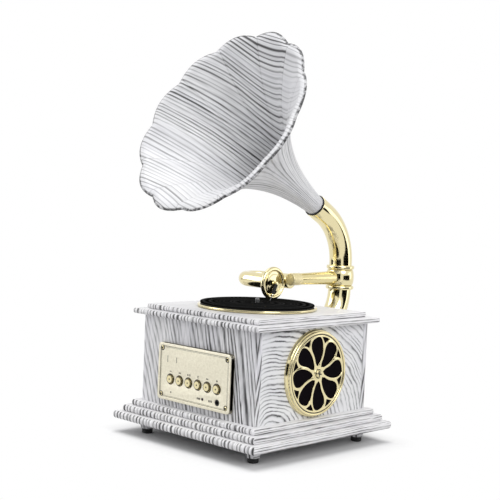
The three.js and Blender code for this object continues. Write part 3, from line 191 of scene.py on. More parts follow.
ELBOW_Z = 153.15
ELBOW_RISE, ELBOW_BEND, ELBOW_RUN = 6.75, 60.0, 16.8
ELBOW_BEAD_BORE = 10.9
HORN_ELEVATION = radians(28.56)
HORN_MOUTH = Vector((0, 81.3, 220.6))
HORN_LENGTH, HORN_THROAT, HORN_TAPER, HORN_FLARE = 161.5, 10.35, 12.0, 68.05
HORN_POWER = 2.6
HORN_WALL = 1.8
HORN_NECK = 12.0
HORN_PETALS = 12
HORN_PETAL_SHARE = 0.046
HORN_PETAL_FADE = 30.0
HORN_PETAL_LEAD = 1.8
HORN_LIP = 6.5
HORN_LIP_TURN = radians(80)
HORN_CLOCKING = radians(1.7)
HORN_ROWS, HORN_LIP_ROWS, HORN_STEPS_PER_PETAL = 44, 12, 16
SEAL_INNER, SEAL_OUTER, SEAL_HEIGHT = 10.65, 12.0, 1.35

# The print on the horn: how it fans out outside and leans and bends inside; and the band of painted shade
# that darkens it at the cut edge.
HORN_FAN = 38.0
HORN_FILM_SLANT = 0.14
HORN_FILM_BEND, HORN_FILM_BEND_X, HORN_FILM_BEND_REACH = 0.12, -50.0, 20.0
HORN_EDGE_BAND, HORN_EDGE_FADE, HORN_EDGE_PAINTED_SHADE = 3.0, 0.6, 0.9
HORN_PRINT_OUTSIDE, HORN_PRINT_INSIDE, HORN_PRINT_LOSS = 0.55, 0.8, 0.4
# Where along the horn, as a share of its length, the petals' own print starts.
HORN_PETAL_START = 0.45
# How dark the print is near the rim in each petal, and how its lines lean there, from the right side
# round by the bottom.
PETAL_PRINT = [0.35, 0.35, 0.38, 0.48, 0.5, 0.55, 0.9, 0.75, 1.0, 0.75, 0.35, 0.25]
PETAL_LEAN = [0.0, 0.1, -0.08, 0.08, -0.06, 0.1, -0.08, 0.06, -0.1, 0.08, -0.06, 0.05]

INLET_PLACE = (-45.0, CABINET_FACE, 41.55)
INLET_RADIUS, INLET_LIP_RADIUS, INLET_LIP_HEIGHT, INLET_WELL_RADIUS = 5.0, 6.5, 1.5, 2.8

# The print's ink, and how dark it is across one printed line, up to the start of the next.
INK_TONE = (0.035, 0.035, 0.037)
GRAIN_LINE = [(0.0, 0.45), (0.1, 0.05), (0.4, 0.0), (0.6, 0.3), (0.75, 1.0), (0.9, 1.0), (1.0, 0.45)]
THIN_LINE = [(0.0, 0.35), (0.1, 0.03), (0.5, 0.0), (0.68, 0.25), (0.8, 1.0), (0.91, 0.9), (1.0, 0.35)]
# Where the arches of the side print start, and how much their distance counts behind and ahead of it.
ARCH_FOOT_Y, ARCH_FOOT_Z, ARCH_WIDE, ARCH_NARROW = -60, 4, 0.74, 1.5

FINISH_OF_WALL = {"front_wall": "front_film", "back_wall": "front_film",
                  "right_wall": "side_film", "left_wall": "side_film"}
FINISH_OF_SLOT = {"wood_film": "board_film"}

slot_of = {entry["node"]: entry["material_slot"] for entry in record["subparts"]}
body_of = {node: body for body, nodes in record["behaviour"]["bodies"].items() for node in nodes}


# Shader building

def add(tree, kind, inputs=None, **settings):
    node = tree.nodes.new("ShaderNode" + kind)
    for key, value in settings.items():
        setattr(node, key, value)
    for key, value in (inputs or {}).items():
        socket = node.inputs[key]
        if isinstance(value, bpy.types.NodeSocket):
            tree.links.new(value, socket)
        else:
            socket.default_value = value
    return node


def math_node(tree, operation, *values):
    return add(tree, "Math", dict(enumerate(values)), operation=operation).outputs[0]


def vector_node(tree, operation, *values):
    return add(tree, "VectorMath", dict(enumerate(values)), operation=operation).outputs


def new_material(name, **values):
    material = bpy.data.materials.new(name)
    material.use_nodes = True
    tree = material.node_tree
    shader = tree.nodes["Principled BSDF"]
    for key, value in values.items():
        shader.inputs[key.replace("_", " ")].default_value = value
    return material, tree, shader


def connect(tree, shader, **sockets):
    for key, socket in sockets.items():
        tree.links.new(socket, shader.inputs[key.replace("_", " ")])


def object_place(tree):
    return add(tree, "TexCoord").outputs["Object"]


def surface_place(tree):
    return add(tree, "TexCoord").outputs["UV"]


def split(tree, place):
    return add(tree, "SeparateXYZ", {"Vector": place}).outputs


def layer_values(tree, layer):
    """The two values that a layer of the mesh carries."""
    return split(tree, add(tree, "UVMap", uv_map=layer).outputs[0])


def stretched(tree, place, scale):
    return add(tree, "Mapping", {"Vector": place, "Scale": scale}).outputs[0]


def noise(tree, place, grain, detail, roughness):
    """Noise whose grains are about so many millimetres wide."""
    inputs = {"Vector": place, "Scale": 1 / (grain * MM), "Detail": detail, "Roughness": roughness}
    return add(tree, "TexNoise", inputs).outputs["Fac"]


def noise_along(tree, distance, scale):
    """Noise that changes along one distance only."""
    inputs = {"W": distance, "Scale": scale, "Detail": 1.0}
    return add(tree, "TexNoise", inputs, noise_dimensions="1D").outputs["Fac"]


def remap(tree, value, low, high, to_low=0.0, to_high=1.0):
    return add(tree, "MapRange", {0: value, 1: low, 2: high, 3: to_low, 4: to_high}).outputs[0]


def ramp(tree, factor, stops):
    node = add(tree, "ValToRGB", {"Fac": factor})
    elements = node.color_ramp.elements
    while len(elements) < len(stops):
        elements.new(0.5)
    for element, (place, tone) in zip(elements, stops):
        element.position = place
        element.color = (*tone, 1) if isinstance(tone, tuple) else (tone, tone, tone, 1)
    return node.outputs["Color"]


def blend(tree, share, first, second):
    """A colour between two, each given by three shares or by another node."""
    first, second = ((*tone, 1) if isinstance(tone, tuple) else tone for tone in (first, second))
    return add(tree, "Mix", {"Factor": share, 6: first, 7: second}, data_type="RGBA").outputs[2]


def bump(tree, height, strength, depth):
    """A bumped surface whose relief is so many millimetres deep."""
    inputs = {"Height": height, "Strength": strength, "Distance": depth * MM}
    return add(tree, "Bump", inputs).outputs["Normal"]


def mix_shaders(tree, share, first, second):
    return add(tree, "MixShader", {0: share, 1: first.outputs[0], 2: second.outputs[0]})


def ray_mix(tree):
    """1 for rays that look at the background: the camera's, and those in metal and glass."""
    rays = add(tree, "LightPath").outputs
    seen = math_node(tree, "MAXIMUM", rays["Is Camera Ray"], rays["Is Glossy Ray"])
    return math_node(tree, "MAXIMUM", seen, rays["Is Transmission Ray"])


# Camera, floor and light

def put_object(name, data):
    thing = bpy.data.objects.new(name, data)
    scene.collection.objects.link(thing)
    return thing


def mesh_of(bm, name):
    mesh = bpy.data.meshes.new(name)
    bm.to_mesh(mesh)
    bm.free()
    return mesh


def place_bm(bm, matrix):
    bmesh.ops.transform(bm, matrix=matrix, verts=bm.verts)
    return bm


def facing(place, aim):
    """The turn that points a lamp or card at its aim."""
    return (Vector(aim) - Vector(place)).to_track_quat("-Z", "Y")


def add_camera():
    data = bpy.data.cameras.new("photo_camera")
    camera = put_object("photo_camera", data)
    scene.camera = camera
    azimuth, elevation, roll = CAMERA_TURN
    back = Vector((sin(azimuth) * cos(elevation), -cos(azimuth) * cos(elevation), sin(elevation)))
    level = Vector((cos(azimuth), sin(azimuth), 0))
    upright = back.cross(level)
    right = cos(roll) * level + sin(roll) * upright
    up = cos(roll) * upright - sin(roll) * level
    turn = Matrix((right, up, back)).transposed().to_4x4()
    camera.matrix_world = Matrix.Translation(CAMERA_PLACE * MM) @ turn
    data.sensor_width = CAMERA_SENSOR
    data.lens = CAMERA_LENS
    data.clip_start, data.clip_end = CAMERA_CLIP


def add_world():
    world = bpy.data.worlds.new("studio")
    scene.world = world
    world.use_nodes = True
    tree = world.node_tree
    tree.nodes.clear()
    seen = add(tree, "Background", {"Color": WHITE, "Strength": 1.0})
    lit = add(tree, "Background", {"Color": SKY_TONE, "Strength": SKY_STRENGTH})
    mix = mix_shaders(tree, ray_mix(tree), lit, seen)
    add(tree, "OutputWorld", {"Surface": mix.outputs[0]})


def distance_outside(tree, half):
    """How far a point of the floor lies outside a square of this half width."""
    place = vector_node(tree, "ABSOLUTE", object_place(tree))[0]
    place = vector_node(tree, "SUBTRACT", place, (half, half, 1))[0]
    place = vector_node(tree, "MAXIMUM", place, (0, 0, 0))[0]
    return vector_node(tree, "LENGTH", place)["Value"]


def add_floor():
    """A pale floor that rays see as white, but for a soft shadow painted into its colour round the footprint.
    """
    bm = bmesh.new()
    bmesh.ops.create_grid(bm, x_segments=1, y_segments=1, size=FLOOR_HALF)
    bmesh.ops.translate(bm, vec=(0, 0, cad_box[0][2]), verts=bm.verts)
    floor = put_object("floor", mesh_of(bm, "floor"))
    material = bpy.data.materials.new("pale_floor")
    material.use_nodes = True
    tree = material.node_tree
    tree.nodes.clear()
    away = distance_outside(tree, FOOTPRINT_HALF)
    # Painted shadow: the floor's colour is darker under the footprint and fades out past it.
    shade = ramp(tree, away, [(0.0, FOOTPRINT_PAINTED_SHADOW_TONE), (PAINTED_SHADOW_REACH, 1.0)])
    near = add(tree, "BsdfDiffuse", {"Color": shade})
    glow = add(tree, "Emission", {"Color": WHITE, "Strength": 1.0})
    seen = mix_shaders(tree, remap(tree, away, 0.0, WHITE_REACH), near, glow)
    lit = add(tree, "BsdfDiffuse", {"Color": FLOOR_TONE})
    mix = mix_shaders(tree, ray_mix(tree), lit, seen)
    add(tree, "OutputMaterial", {"Surface": mix.outputs[0]})
    floor.data.materials.append(material)


def add_lamp(name, place, aim, width, height, power):
    data = bpy.data.lights.new(name, "AREA")
    data.shape = "RECTANGLE"
    data.size, data.size_y = width, height
    data.energy = power
    lamp = put_object(name, data)
    lamp.location = place
    lamp.rotation_euler = facing(place, aim).to_euler()


def add_card(name, place, aim, width, height, glow):
    """A dark or glowing card for the metal to reflect. Only reflections see it."""
    bm = bmesh.new()
    bmesh.ops.create_grid(bm, x_segments=1, y_segments=1, size=0.5)
    turn = facing(place, aim).to_matrix().to_4x4()
    place_bm(bm, Matrix.Translation(place) @ turn @ Matrix.Diagonal((width, height, 1, 1)))
    card = put_object(name, mesh_of(bm, name))
    material, _, _ = new_material(name, Base_Color=CARD_TONE, Roughness=1.0, Specular_IOR_Level=0.0,
                                  Emission_Color=WHITE, Emission_Strength=glow)
    card.data.materials.append(material)
    card.visible_camera = False
    card.visible_diffuse = False
    card.visible_shadow = False
    card.visible_transmission = False


def light_the_set():
    add_world()
    add_floor()
    for lamp in LAMPS:
        add_lamp(*lamp)
    for card in CARDS:
        add_card(*card)


# Wood film: how its lines run, and how strong its ink is from place to place

def straight_grain(lean=0.0, spread=0.0):
    """Lines that run along Y, lean a little and lie closer together on one side, and go on round the ends."""
    def lay(tree, parts):
        fan = math_node(tree, "MULTIPLY_ADD", parts["X"], spread / MM, lean)
        level = math_node(tree, "ADD", parts["X"], parts["Z"])
        return math_node(tree, "MULTIPLY_ADD", parts["Y"], fan, level)
    return lay


def arched_grain(tree, parts):
    """Nested arches that start low near the front of a side wall and grow over the grille."""
    ahead = math_node(tree, "ADD", parts["Y"], -ARCH_FOOT_Y * MM)
    wide = math_node(tree, "MULTIPLY", math_node(tree, "MAXIMUM", ahead, 0.0), ARCH_WIDE)
    narrow = math_node(tree, "MULTIPLY", math_node(tree, "MINIMUM", ahead, 0.0), ARCH_NARROW)
    level = math_node(tree, "ADD", wide, narrow)
    height = math_node(tree, "ADD", parts["Z"], -ARCH_FOOT_Z * MM)
    height_squared = math_node(tree, "MULTIPLY", height, height)
    return math_node(tree, "SQRT", math_node(tree, "MULTIPLY_ADD", level, level, height_squared))


def front_shade(tree, parts, ink):
    """The front print is fainter toward the left."""
    share = remap(tree, parts["X"], -75 * MM, 30 * MM, 0.68, 1.05)
    return math_node(tree, "MULTIPLY", ink, share)


def side_shade(tree, parts, ink):
    """The side print is boldest over the arches and fainter beside the corners."""
    along = remap(tree, parts["Y"], -80 * MM, 80 * MM)
    share = ramp(tree, along, [(0.02, 0.2), (0.14, 1.35), (0.5, 1.4), (0.8, 0.85)])
    return math_node(tree, "MULTIPLY", ink, share)


def board_shade(tree, parts, ink):
    """Painted light: the print is fainter on the boards' tops and right and left edges than on their fronts,
    so these faces read lighter, as if lit.
    """
    return math_node(tree, "MULTIPLY", ink, layer_values(tree, "density")["X"])


def horn_shade(tree, parts, ink):
    """The horn's print has its own strength, and painted shade adds thin dark lines in the folds and along
    the film's cut edge, under the rolled lip.
    """
    folds = layer_values(tree, "petal")
    density = layer_values(tree, "density")
    # Painted shade: a thin dark line along each fold, fading in from the petals' start.
    painted_fold_shade = ramp(tree, folds["X"], [(0.0, 0.6), (0.07, 0.0)])
    # Painted shade along the cut edge, broken into strokes.
    strokes = ramp(tree, noise(tree, object_place(tree), 4, 2.0, 0.6), [(0.42, 0.35), (0.55, 1.0)])
    painted_edge_shade = math_node(tree, "MULTIPLY", density["Y"], strokes)
    line = math_node(tree, "MULTIPLY_ADD", painted_fold_shade, folds["Y"], painted_edge_shade)
    return math_node(tree, "MULTIPLY_ADD", ink, density["X"], line)


def wood_film(name, place_kind, lay, shade, spacing, wander, drift, reach, darkness, pale, cool,
              turn=(0, 0, 0), fibre_share=0.35, profile=GRAIN_LINE):
    """White film printed with fine grey wood grain, its lines a spacing apart.

    Fine noise moves the lines by the wander and broad noise by the drift, both in millimetres. The
    smaller the reach is, the longer the noise runs along the grain.
    """
    material, tree, shader = new_material(name)
    seat = add(tree, "Mapping", {"Vector": place_kind(tree), "Rotation": turn}).outputs[0]
    parts = split(tree, seat)
    drawn = stretched(tree, seat, (1, reach, 1))
    broad = noise(tree, drawn, 24, 1.5, 0.5)
    fine = noise(tree, drawn, 5, 2.5, 0.6)
    patches = noise(tree, drawn, 11, 2.5, 0.6)
    fibres = noise(tree, stretched(tree, seat, (1, 0.06, 1)), 1.1, 2.0, 0.6)
    across = math_node(tree, "MULTIPLY", lay(tree, parts), 1 / (spacing * MM))
    wandering = math_node(tree, "MULTIPLY_ADD", fine, wander / spacing, across)
    field = math_node(tree, "MULTIPLY_ADD", broad, drift / spacing, wandering)
    uneven = noise_along(tree, field, 0.45)
    phase = math_node(tree, "FRACT", math_node(tree, "MULTIPLY_ADD", uneven, 1.1, field))
    line = ramp(tree, phase, profile)
    strength = ramp(tree, patches, [(0.3, 0.15), (0.5, 0.6), (0.66, 1.0)])
    fibre = ramp(tree, fibres, [(0.42, 0.0), (0.72, fibre_share)])
    ink = math_node(tree, "MULTIPLY_ADD", line, strength, fibre)
    ink = math_node(tree, "MULTIPLY", ink, darkness)
    ink = add(tree, "Clamp", {0: shade(tree, parts, ink)}).outputs[0]
    ground = blend(tree, ramp(tree, broad, [(0.38, 0.0), (0.66, 1.0)]), pale, cool)
    relief = bump(tree, math_node(tree, "SUBTRACT", 1.0, ink), 0.2, 0.05)
    connect(tree, shader, Base_Color=blend(tree, ink, ground, INK_TONE),
            Roughness=remap(tree, ink, 0.0, 1.0, 0.4, 0.55), Normal=relief)
    return material


# Other finishes

def gold_plate(name, roughness=0.07, tone=(0.82, 0.73, 0.44), metallic=1.0):
    """Bright pale gold plating with faint handling marks."""
    material, tree, shader = new_material(name, Metallic=metallic)
    place = object_place(tree)
    cloud = noise(tree, place, 18, 4.0, 0.6)
    smear = noise(tree, place, 6, 5.0, 0.65)
    grit = noise(tree, place, 0.6, 2.0, 0.5)
    darker = tuple(0.94 * share for share in tone)
    connect(tree, shader, Base_Color=blend(tree, cloud, darker, tone),
            Roughness=remap(tree, smear, 0.35, 0.75, roughness, roughness + 0.08),
            Normal=bump(tree, grit, 0.03, 0.02))
    return material


def brushed_gold(name):
    """Pale gold sheet, brushed along X and a little hammered."""
    material, tree, shader = new_material(name, Metallic=0.92)
    place = object_place(tree)
    lines = noise(tree, stretched(tree, place, (0.12, 1, 1)), 0.5, 3.0, 0.7)
    grain = noise(tree, place, 1.1, 3.0, 0.65)
    hammered = noise(tree, place, 2.6, 2.0, 0.6)
    fine_marks = math_node(tree, "MULTIPLY_ADD", grain, 0.25, math_node(tree, "MULTIPLY", lines, 0.25))
    mixed = math_node(tree, "MULTIPLY_ADD", hammered, 0.5, fine_marks)
    connect(tree, shader, Base_Color=blend(tree, mixed, (0.46, 0.41, 0.28), (1.0, 0.97, 0.83)),
            Roughness=remap(tree, mixed, 0.3, 0.7, 0.3, 0.46),
            Normal=bump(tree, mixed, 0.8, 0.14))
    return material


def grooved_vinyl(name):
    """Black record with rings of fine grooves and a plain middle. It has no reflection of its own; lighter
    and darker rings of painted sheen in its colour stand in for one.
    """
    material, tree, shader = new_material(name, Roughness=0.3, Specular_IOR_Level=0.0)
    groove_pitch, sheen_ring_width, label_radius = 0.55, 3.5, 19
    parts = split(tree, object_place(tree))
    y_squared = math_node(tree, "MULTIPLY", parts["Y"], parts["Y"])
    radius = math_node(tree, "SQRT", math_node(tree, "MULTIPLY_ADD", parts["X"], parts["X"], y_squared))
    grooves = math_node(tree, "SINE", math_node(tree, "MULTIPLY", radius, FULL_TURN / (groove_pitch * MM)))
    # Painted sheen: rings of lighter and darker black along the radius.
    painted_sheen_rings = noise_along(tree, radius, 1 / (sheen_ring_width * MM))
    outside_label = math_node(tree, "GREATER_THAN", radius, label_radius * MM)
    cut = math_node(tree, "MULTIPLY", grooves, outside_label)
    connect(tree, shader, Base_Color=ramp(tree, painted_sheen_rings, [(0.32, 0.003), (0.5, 0.012), (0.68, 0.034)]),
            Roughness=remap(tree, painted_sheen_rings, 0.3, 0.7, 0.26, 0.42),
            Normal=bump(tree, cut, 0.3, 0.05))
    return material


def speckled(name, dark, light, roughness, grain=0.8, depth=0.25, metallic=0.0):
    """Moulded plastic, rubber, paper, board or plain metal: two near tones with a fine grain."""
    material, tree, shader = new_material(name, Metallic=metallic)
    place = object_place(tree)
    grains = noise(tree, place, grain, 4.0, 0.65)
    clouds = noise(tree, place, 14, 2.0, 0.5)
    mixed = math_node(tree, "MULTIPLY_ADD", clouds, 0.5, math_node(tree, "MULTIPLY", grains, 0.5))
    connect(tree, shader, Base_Color=blend(tree, mixed, dark, light),
            Roughness=remap(tree, grains, 0.3, 0.7, roughness - 0.05, roughness + 0.07),
            Normal=bump(tree, grains, depth, 0.08))
    return material


def woven_cloth(name):
    """Fine black speaker cloth: two crossed sets of threads."""
    material, tree, shader = new_material(name, Roughness=0.95, Specular_IOR_Level=0.0)
    threads_per_turn = FULL_TURN / (0.9 * MM)
    parts = split(tree, object_place(tree))
    warp, weft = (math_node(tree, "SINE", math_node(tree, "MULTIPLY", parts[axis], threads_per_turn))
                  for axis in "YZ")
    level = math_node(tree, "MULTIPLY_ADD", math_node(tree, "MULTIPLY", warp, weft), 0.5, 0.5)
    tone = ramp(tree, level, [(0.1, (0.002, 0.0015, 0.002)), (0.9, (0.012, 0.01, 0.012))])
    connect(tree, shader, Base_Color=tone, Normal=bump(tree, level, 0.6, 0.15))
    return material


def make_finishes():
    return {
        "board_film": wood_film(
            "board_film", surface_place, straight_grain(), board_shade, spacing=5.0, wander=1.4, drift=5.0,
            reach=0.35, darkness=1.25, pale=(0.95, 0.945, 0.95), cool=(0.92, 0.91, 0.93)),
        "front_film": wood_film(
            "front_film", object_place, straight_grain(0.24, -0.0012), front_shade, spacing=5.0, wander=1.8,
            drift=8.0, reach=0.2, darkness=1.1, pale=(0.93, 0.925, 0.935), cool=(0.82, 0.815, 0.85),
            turn=(radians(-90), 0, 0)),
        "side_film": wood_film(
            "side_film", object_place, arched_grain, side_shade, spacing=3.9, wander=2.2, drift=9.0,
            reach=0.6, darkness=1.0, pale=(0.86, 0.86, 0.865), cool=(0.8, 0.8, 0.82), fibre_share=0.0,
            profile=THIN_LINE),
        "horn_film": wood_film(
            "horn_film", surface_place, straight_grain(), horn_shade, spacing=4.0, wander=2.4, drift=7.0,
            reach=0.1, darkness=1.5, pale=(0.84, 0.84, 0.85), cool=(0.8, 0.8, 0.825), fibre_share=0.25,
            profile=THIN_LINE),
        "gold": gold_plate("gold"),
        "satin_gold": gold_plate("satin_gold", roughness=0.16, tone=(0.78, 0.68, 0.37), metallic=0.9),
        "matt_gold": gold_plate("matt_gold", roughness=0.3, tone=(0.86, 0.75, 0.43), metallic=0.35),
        "brushed_gold": brushed_gold("brushed_gold"),
        "black_rubber": speckled("black_rubber", (0.008, 0.008, 0.009), (0.02, 0.02, 0.021), 0.75),
        "black_plastic": speckled("black_plastic", (0.01, 0.01, 0.011), (0.022, 0.022, 0.024), 0.5),
        "record_vinyl": grooved_vinyl("record_vinyl"),
        "grille_cloth": woven_cloth("grille_cloth"),
        "circuit": speckled("circuit", (0.012, 0.09, 0.035), (0.03, 0.17, 0.07), 0.5, grain=2.0),
        "steel": speckled("steel", (0.42, 0.42, 0.43), (0.6, 0.6, 0.61), 0.32, grain=1.5, depth=0.08,
                          metallic=1.0),
        "dark_steel": speckled("dark_steel", (0.12, 0.12, 0.122), (0.2, 0.2, 0.205), 0.22, grain=1.5,
                               metallic=1.0),
        "cone_paper": speckled("cone_paper", (0.015, 0.015, 0.017), (0.03, 0.03, 0.033), 0.9, grain=0.5,
                               depth=0.5),
        "lamp_lens": speckled("lamp_lens", (0.02, 0.012, 0.02), (0.05, 0.02, 0.03), 0.15, depth=0.02),
        # mark_ink is print where it draws signs, and painted shade in slots, grooves, button edges, and rings
        # and lines round parts.
        "mark_ink": speckled("mark_ink", (0.01, 0.009, 0.007), (0.025, 0.022, 0.016), 0.5),
    }


# Shaping

def turned(profile, steps=96):
    """A body of revolution about Z from (radius, height) points in millimetres."""
    bm = bmesh.new()
    points = [bm.verts.new((radius, 0, height)) for radius, height in profile]
    for first, second in zip(points, points[1:]):
        bm.edges.new((first, second))
    if profile[0][0] > 0 and profile[-1][0] > 0:
        bm.edges.new((points[-1], points[0]))
    bmesh.ops.spin(bm, geom=bm.verts[:] + bm.edges[:], cent=(0, 0, 0), axis=Z, angle=FULL_TURN, steps=steps,
                   use_merge=True)
    bmesh.ops.remove_doubles(bm, verts=bm.verts, dist=1e-4)
    return bm


def band(inner, outer, start, end):
    """The profile of a ring from one height to another."""
    return [(inner, start), (outer, start), (outer, end), (inner, end)]


def stacked(start, *cylinders):
    """The profile of solid cylinders, end to end: for each, its radius and the height where it ends."""
    points = [(0, start)]
    for radius, end in cylinders:
        points += [(radius, start), (radius, end)]
        start = end
    return [*points, (0, start)]


def rounded(profile, corners, segments=5):
    """The profile with each numbered corner turned into an arc of the given radius."""
    points = []
    for index, (x, z) in enumerate(profile):
        if index not in corners:
            points.append((x, z))
            continue
        corner = Vector((x, z))
        before = (Vector(profile[index - 1]) - corner).normalized()
        after = (Vector(profile[(index + 1) % len(profile)]) - corner).normalized()
        half = before.angle(after) / 2
        radius = corners[index]
        setback = radius / max(1e-6, abs(sin(half) / cos(half)))
        middle = corner + (before + after).normalized() * (radius / sin(half))
        start, end = corner + before * setback - middle, corner + after * setback - middle
        swing = start.angle_signed(end)
        for step in range(segments + 1):
            angle = -swing * step / segments
            points.append((middle.x + start.x * cos(angle) - start.y * sin(angle),
                           middle.y + start.x * sin(angle) + start.y * cos(angle)))
    return points


def bent_path(start, forward, side, runs, step=radians(3)):
    """Places and headings along straight runs and bends that lie in one plane."""
    place, heading = Vector(start), 0.0
    stations = [(place.copy(), forward.copy())]
    for length, radius, turn in runs:
        if length:
            place = place + length * (forward * cos(heading) + side * sin(heading))
            stations.append((place.copy(), forward * cos(heading) + side * sin(heading)))
        for _ in range(round(turn / step) if turn else 0):
            share = turn / round(turn / step)
            place = place + radius * ((sin(heading + share) - sin(heading)) * forward
                                      + (cos(heading) - cos(heading + share)) * side)
            heading += share
            stations.append((place.copy(), forward * cos(heading) + side * sin(heading)))
    return stations


def ring_seats(path, flat, radius):
    """The matrices that put a unit circle across each station of a path."""
    across = flat.normalized()
    seats = []
    for place, heading in path:
        turn = Matrix((across, heading.cross(across), heading)).transposed().to_4x4()
        seats.append(Matrix.Translation(place) @ turn @ Matrix.Diagonal((radius, radius, 1, 1)))
    return seats


def grow_ring(bm, edges, before, after):
    """Draw a ring of edges on to the next seat, and give its new edges."""
    grown = bmesh.ops.extrude_edge_only(bm, edges=edges)["geom"]
    points = [part for part in grown if isinstance(part, bmesh.types.BMVert)]
    bmesh.ops.transform(bm, matrix=after @ before.inverted(), verts=points)
    inside = set(points)
    return [edge for edge in {e for v in points for e in v.link_edges} if set(edge.verts) <= inside]


def swept(seats, sides=48, hollow=False):
    """A round bar, or a pipe whose skin comes back along its bore, through a row of ring seats."""
    bm = bmesh.new()
    bmesh.ops.create_circle(bm, cap_ends=False, radius=1.0, segments=sides)
    bmesh.ops.transform(bm, matrix=seats[0], verts=bm.verts)
    first = bm.edges[:]
    edges = first
    for before, after in zip(seats, seats[1:]):
        edges = grow_ring(bm, edges, before, after)
    if hollow:
        bmesh.ops.bridge_loops(bm, edges=first + edges)
    else:
        bmesh.ops.holes_fill(bm, edges=bm.edges, sides=0)
    bmesh.ops.recalc_face_normals(bm, faces=bm.faces)
    return bm


def ease_edges(bm, width, segments=3, over=radians(50)):
    """Round off every edge that turns by more than an angle."""
    sharp = [edge for edge in bm.edges if len(edge.link_faces) == 2 and edge.calc_face_angle() > over]
    bmesh.ops.bevel(bm, geom=sharp, offset=width, segments=segments, profile=0.5, affect="EDGES", material=-1)


def flat_plate(outlines, thickness, edge, rounds=4):
    """A flat plate from Z 0 up, with holes and rounded edges, from closed outlines of (x, y) points."""
    curve = bpy.data.curves.new("outline", "CURVE")
    curve.dimensions = "2D"
    curve.fill_mode = "BOTH"
    curve.extrude = thickness / 2 - edge
    curve.bevel_depth = edge
    curve.bevel_resolution = rounds
    curve.offset = -edge
    for outline in outlines:
        spline = curve.splines.new("POLY")
        spline.points.add(len(outline) - 1)
        for point, (x, y) in zip(spline.points, outline):
            point.co = (x, y, 0, 1)
        spline.use_cyclic_u = True
    holder = bpy.data.objects.new("outline", curve)
    mesh = bpy.data.meshes.new_from_object(holder)
    bm = bmesh.new()
    bm.from_mesh(mesh)
    for layer in bm.loops.layers.uv.values():
        bm.loops.layers.uv.remove(layer)
    bpy.data.objects.remove(holder)
    bpy.data.curves.remove(curve)
    bpy.data.meshes.remove(mesh)
    bmesh.ops.translate(bm, vec=(0, 0, thickness / 2), verts=bm.verts)
    bmesh.ops.remove_doubles(bm, verts=bm.verts, dist=1e-4)
    bmesh.ops.recalc_face_normals(bm, faces=bm.faces)
    return bm


def round_place(radius, angle):
    return radius * cos(angle), radius * sin(angle)


def circle_outline(radius, sides, centre=(0, 0)):
    places = [round_place(radius, FULL_TURN * i / sides) for i in range(sides)]
    return [(centre[0] + x, centre[1] + y) for x, y in places]


def rounded_rectangle(width, height, radius, steps=6, centre=(0, 0)):
    points = []
    for quarter, (sx, sy) in enumerate([(1, 1), (-1, 1), (-1, -1), (1, -1)]):
        for i in range(steps + 1):
            angle = (quarter + i / steps) * QUARTER_TURN
            points.append((centre[0] + sx * (width / 2 - radius) + radius * cos(angle),
                           centre[1] + sy * (height / 2 - radius) + radius * sin(angle)))
    return points


def four_corners(reach):
    return [(-reach, -reach), (reach, -reach), (reach, reach), (-reach, reach)]


def join_bm(parts):
    """Several closed shells as one mesh."""
    whole = bmesh.new()
    for part in parts:
        mesh = mesh_of(part, "part")
        whole.from_mesh(mesh)
        bpy.data.meshes.remove(mesh)
    return whole


def add_piece(name, bm, finish, node, smooth_to=38, wrap=None):
    """Finish a piece in metres: it stands for a node of the frame and moves with that node's body."""
    bmesh.ops.recalc_face_normals(bm, faces=bm.faces)
    bmesh.ops.scale(bm, vec=(MM, MM, MM), verts=bm.verts)
    if wrap:
        wrap(bm)
    mesh = mesh_of(bm, name)
    mesh.shade_smooth()
    mesh.set_sharp_from_angle(angle=radians(smooth_to))
    mesh.materials.append(finishes[finish])
    piece = put_object(name, mesh)
    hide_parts(node)
    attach(piece, body_of[node])


def add_turned(name, profile, steps, seat, finish, node, wrap=None):
    """A turned piece, set on its seat."""
    add_piece(name, place_bm(turned(profile, steps), seat), finish, node, wrap=wrap)


def paint(node, finish):
    slots = frame["nodes"][node].material_slots
    for slot in slots:
        slot.material = finishes[finish]
    if not slots:
        frame["nodes"][node].data.materials.append(finishes[finish])


def cross_slot_shade(reach, width, lift, turn):
    """A screw's cross slot as painted shade: two thin dark bars just over its head, where the slot would be
    in shadow.
    """
    bars = []
    for quarter in (0, 1):
        bar = bmesh.new()
        bmesh.ops.create_cube(bar, size=1.0, matrix=Matrix.Diagonal((reach, width, 0.1, 1)))
        swing = Matrix.Rotation(turn + quarter * QUARTER_TURN, 4, "Z")
        bars.append(place_bm(bar, Matrix.Translation((0, 0, lift)) @ swing))
    return join_bm(bars)


# Boards: the film is laid over the top and folded down the edges, so its grain runs on over them

def fold_film(top, shift):
    """Lay the film on a board whose top is at this height, shifted so that no two boards look alike."""
    def wrap(bm):
        film = bm.loops.layers.uv.new("film")
        density = bm.loops.layers.uv.new("density")
        for face in bm.faces:
            # Painted light: tops and right and left edges get fainter print, so they read lighter, as if lit.
            sideways = abs(face.normal.x) > abs(face.normal.y)
            edge_print = PAINTED_LIGHT_SIDE_PRINT if sideways else PRINT_ON_FRONT
            print_share = PAINTED_LIGHT_TOP_PRINT if face.normal.z > 0.9 else edge_print
            for loop in face.loops:
                loop[density].uv = (print_share, 0)
                x, y, z = loop.vert.co
                drop = top * MM - z
                across = x + EDGE_SQUEEZE * (drop if x > 0 else -drop) if sideways else x
                along = y if sideways else y + (drop if y > 0 else -drop)
                loop[film].uv = (across + shift * MM, along + 3 * shift * MM)
    return wrap


def add_board(node, name, shift, bore=None):
    low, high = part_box(node)
    width, depth, thickness = ((high[i] - low[i]) / MM for i in range(3))
    outlines = [rounded_rectangle(width, depth, BOARD_CORNER)]
    if bore:
        outlines.append(circle_outline(bore, 24))
    bm = flat_plate(outlines, thickness, thickness * BOARD_EDGE_SHARE)
    place_bm(bm, Matrix.Translation((0, 0, low[2] / MM)))
    add_piece(name, bm, "board_film", node, wrap=fold_film(high[2] / MM, shift))


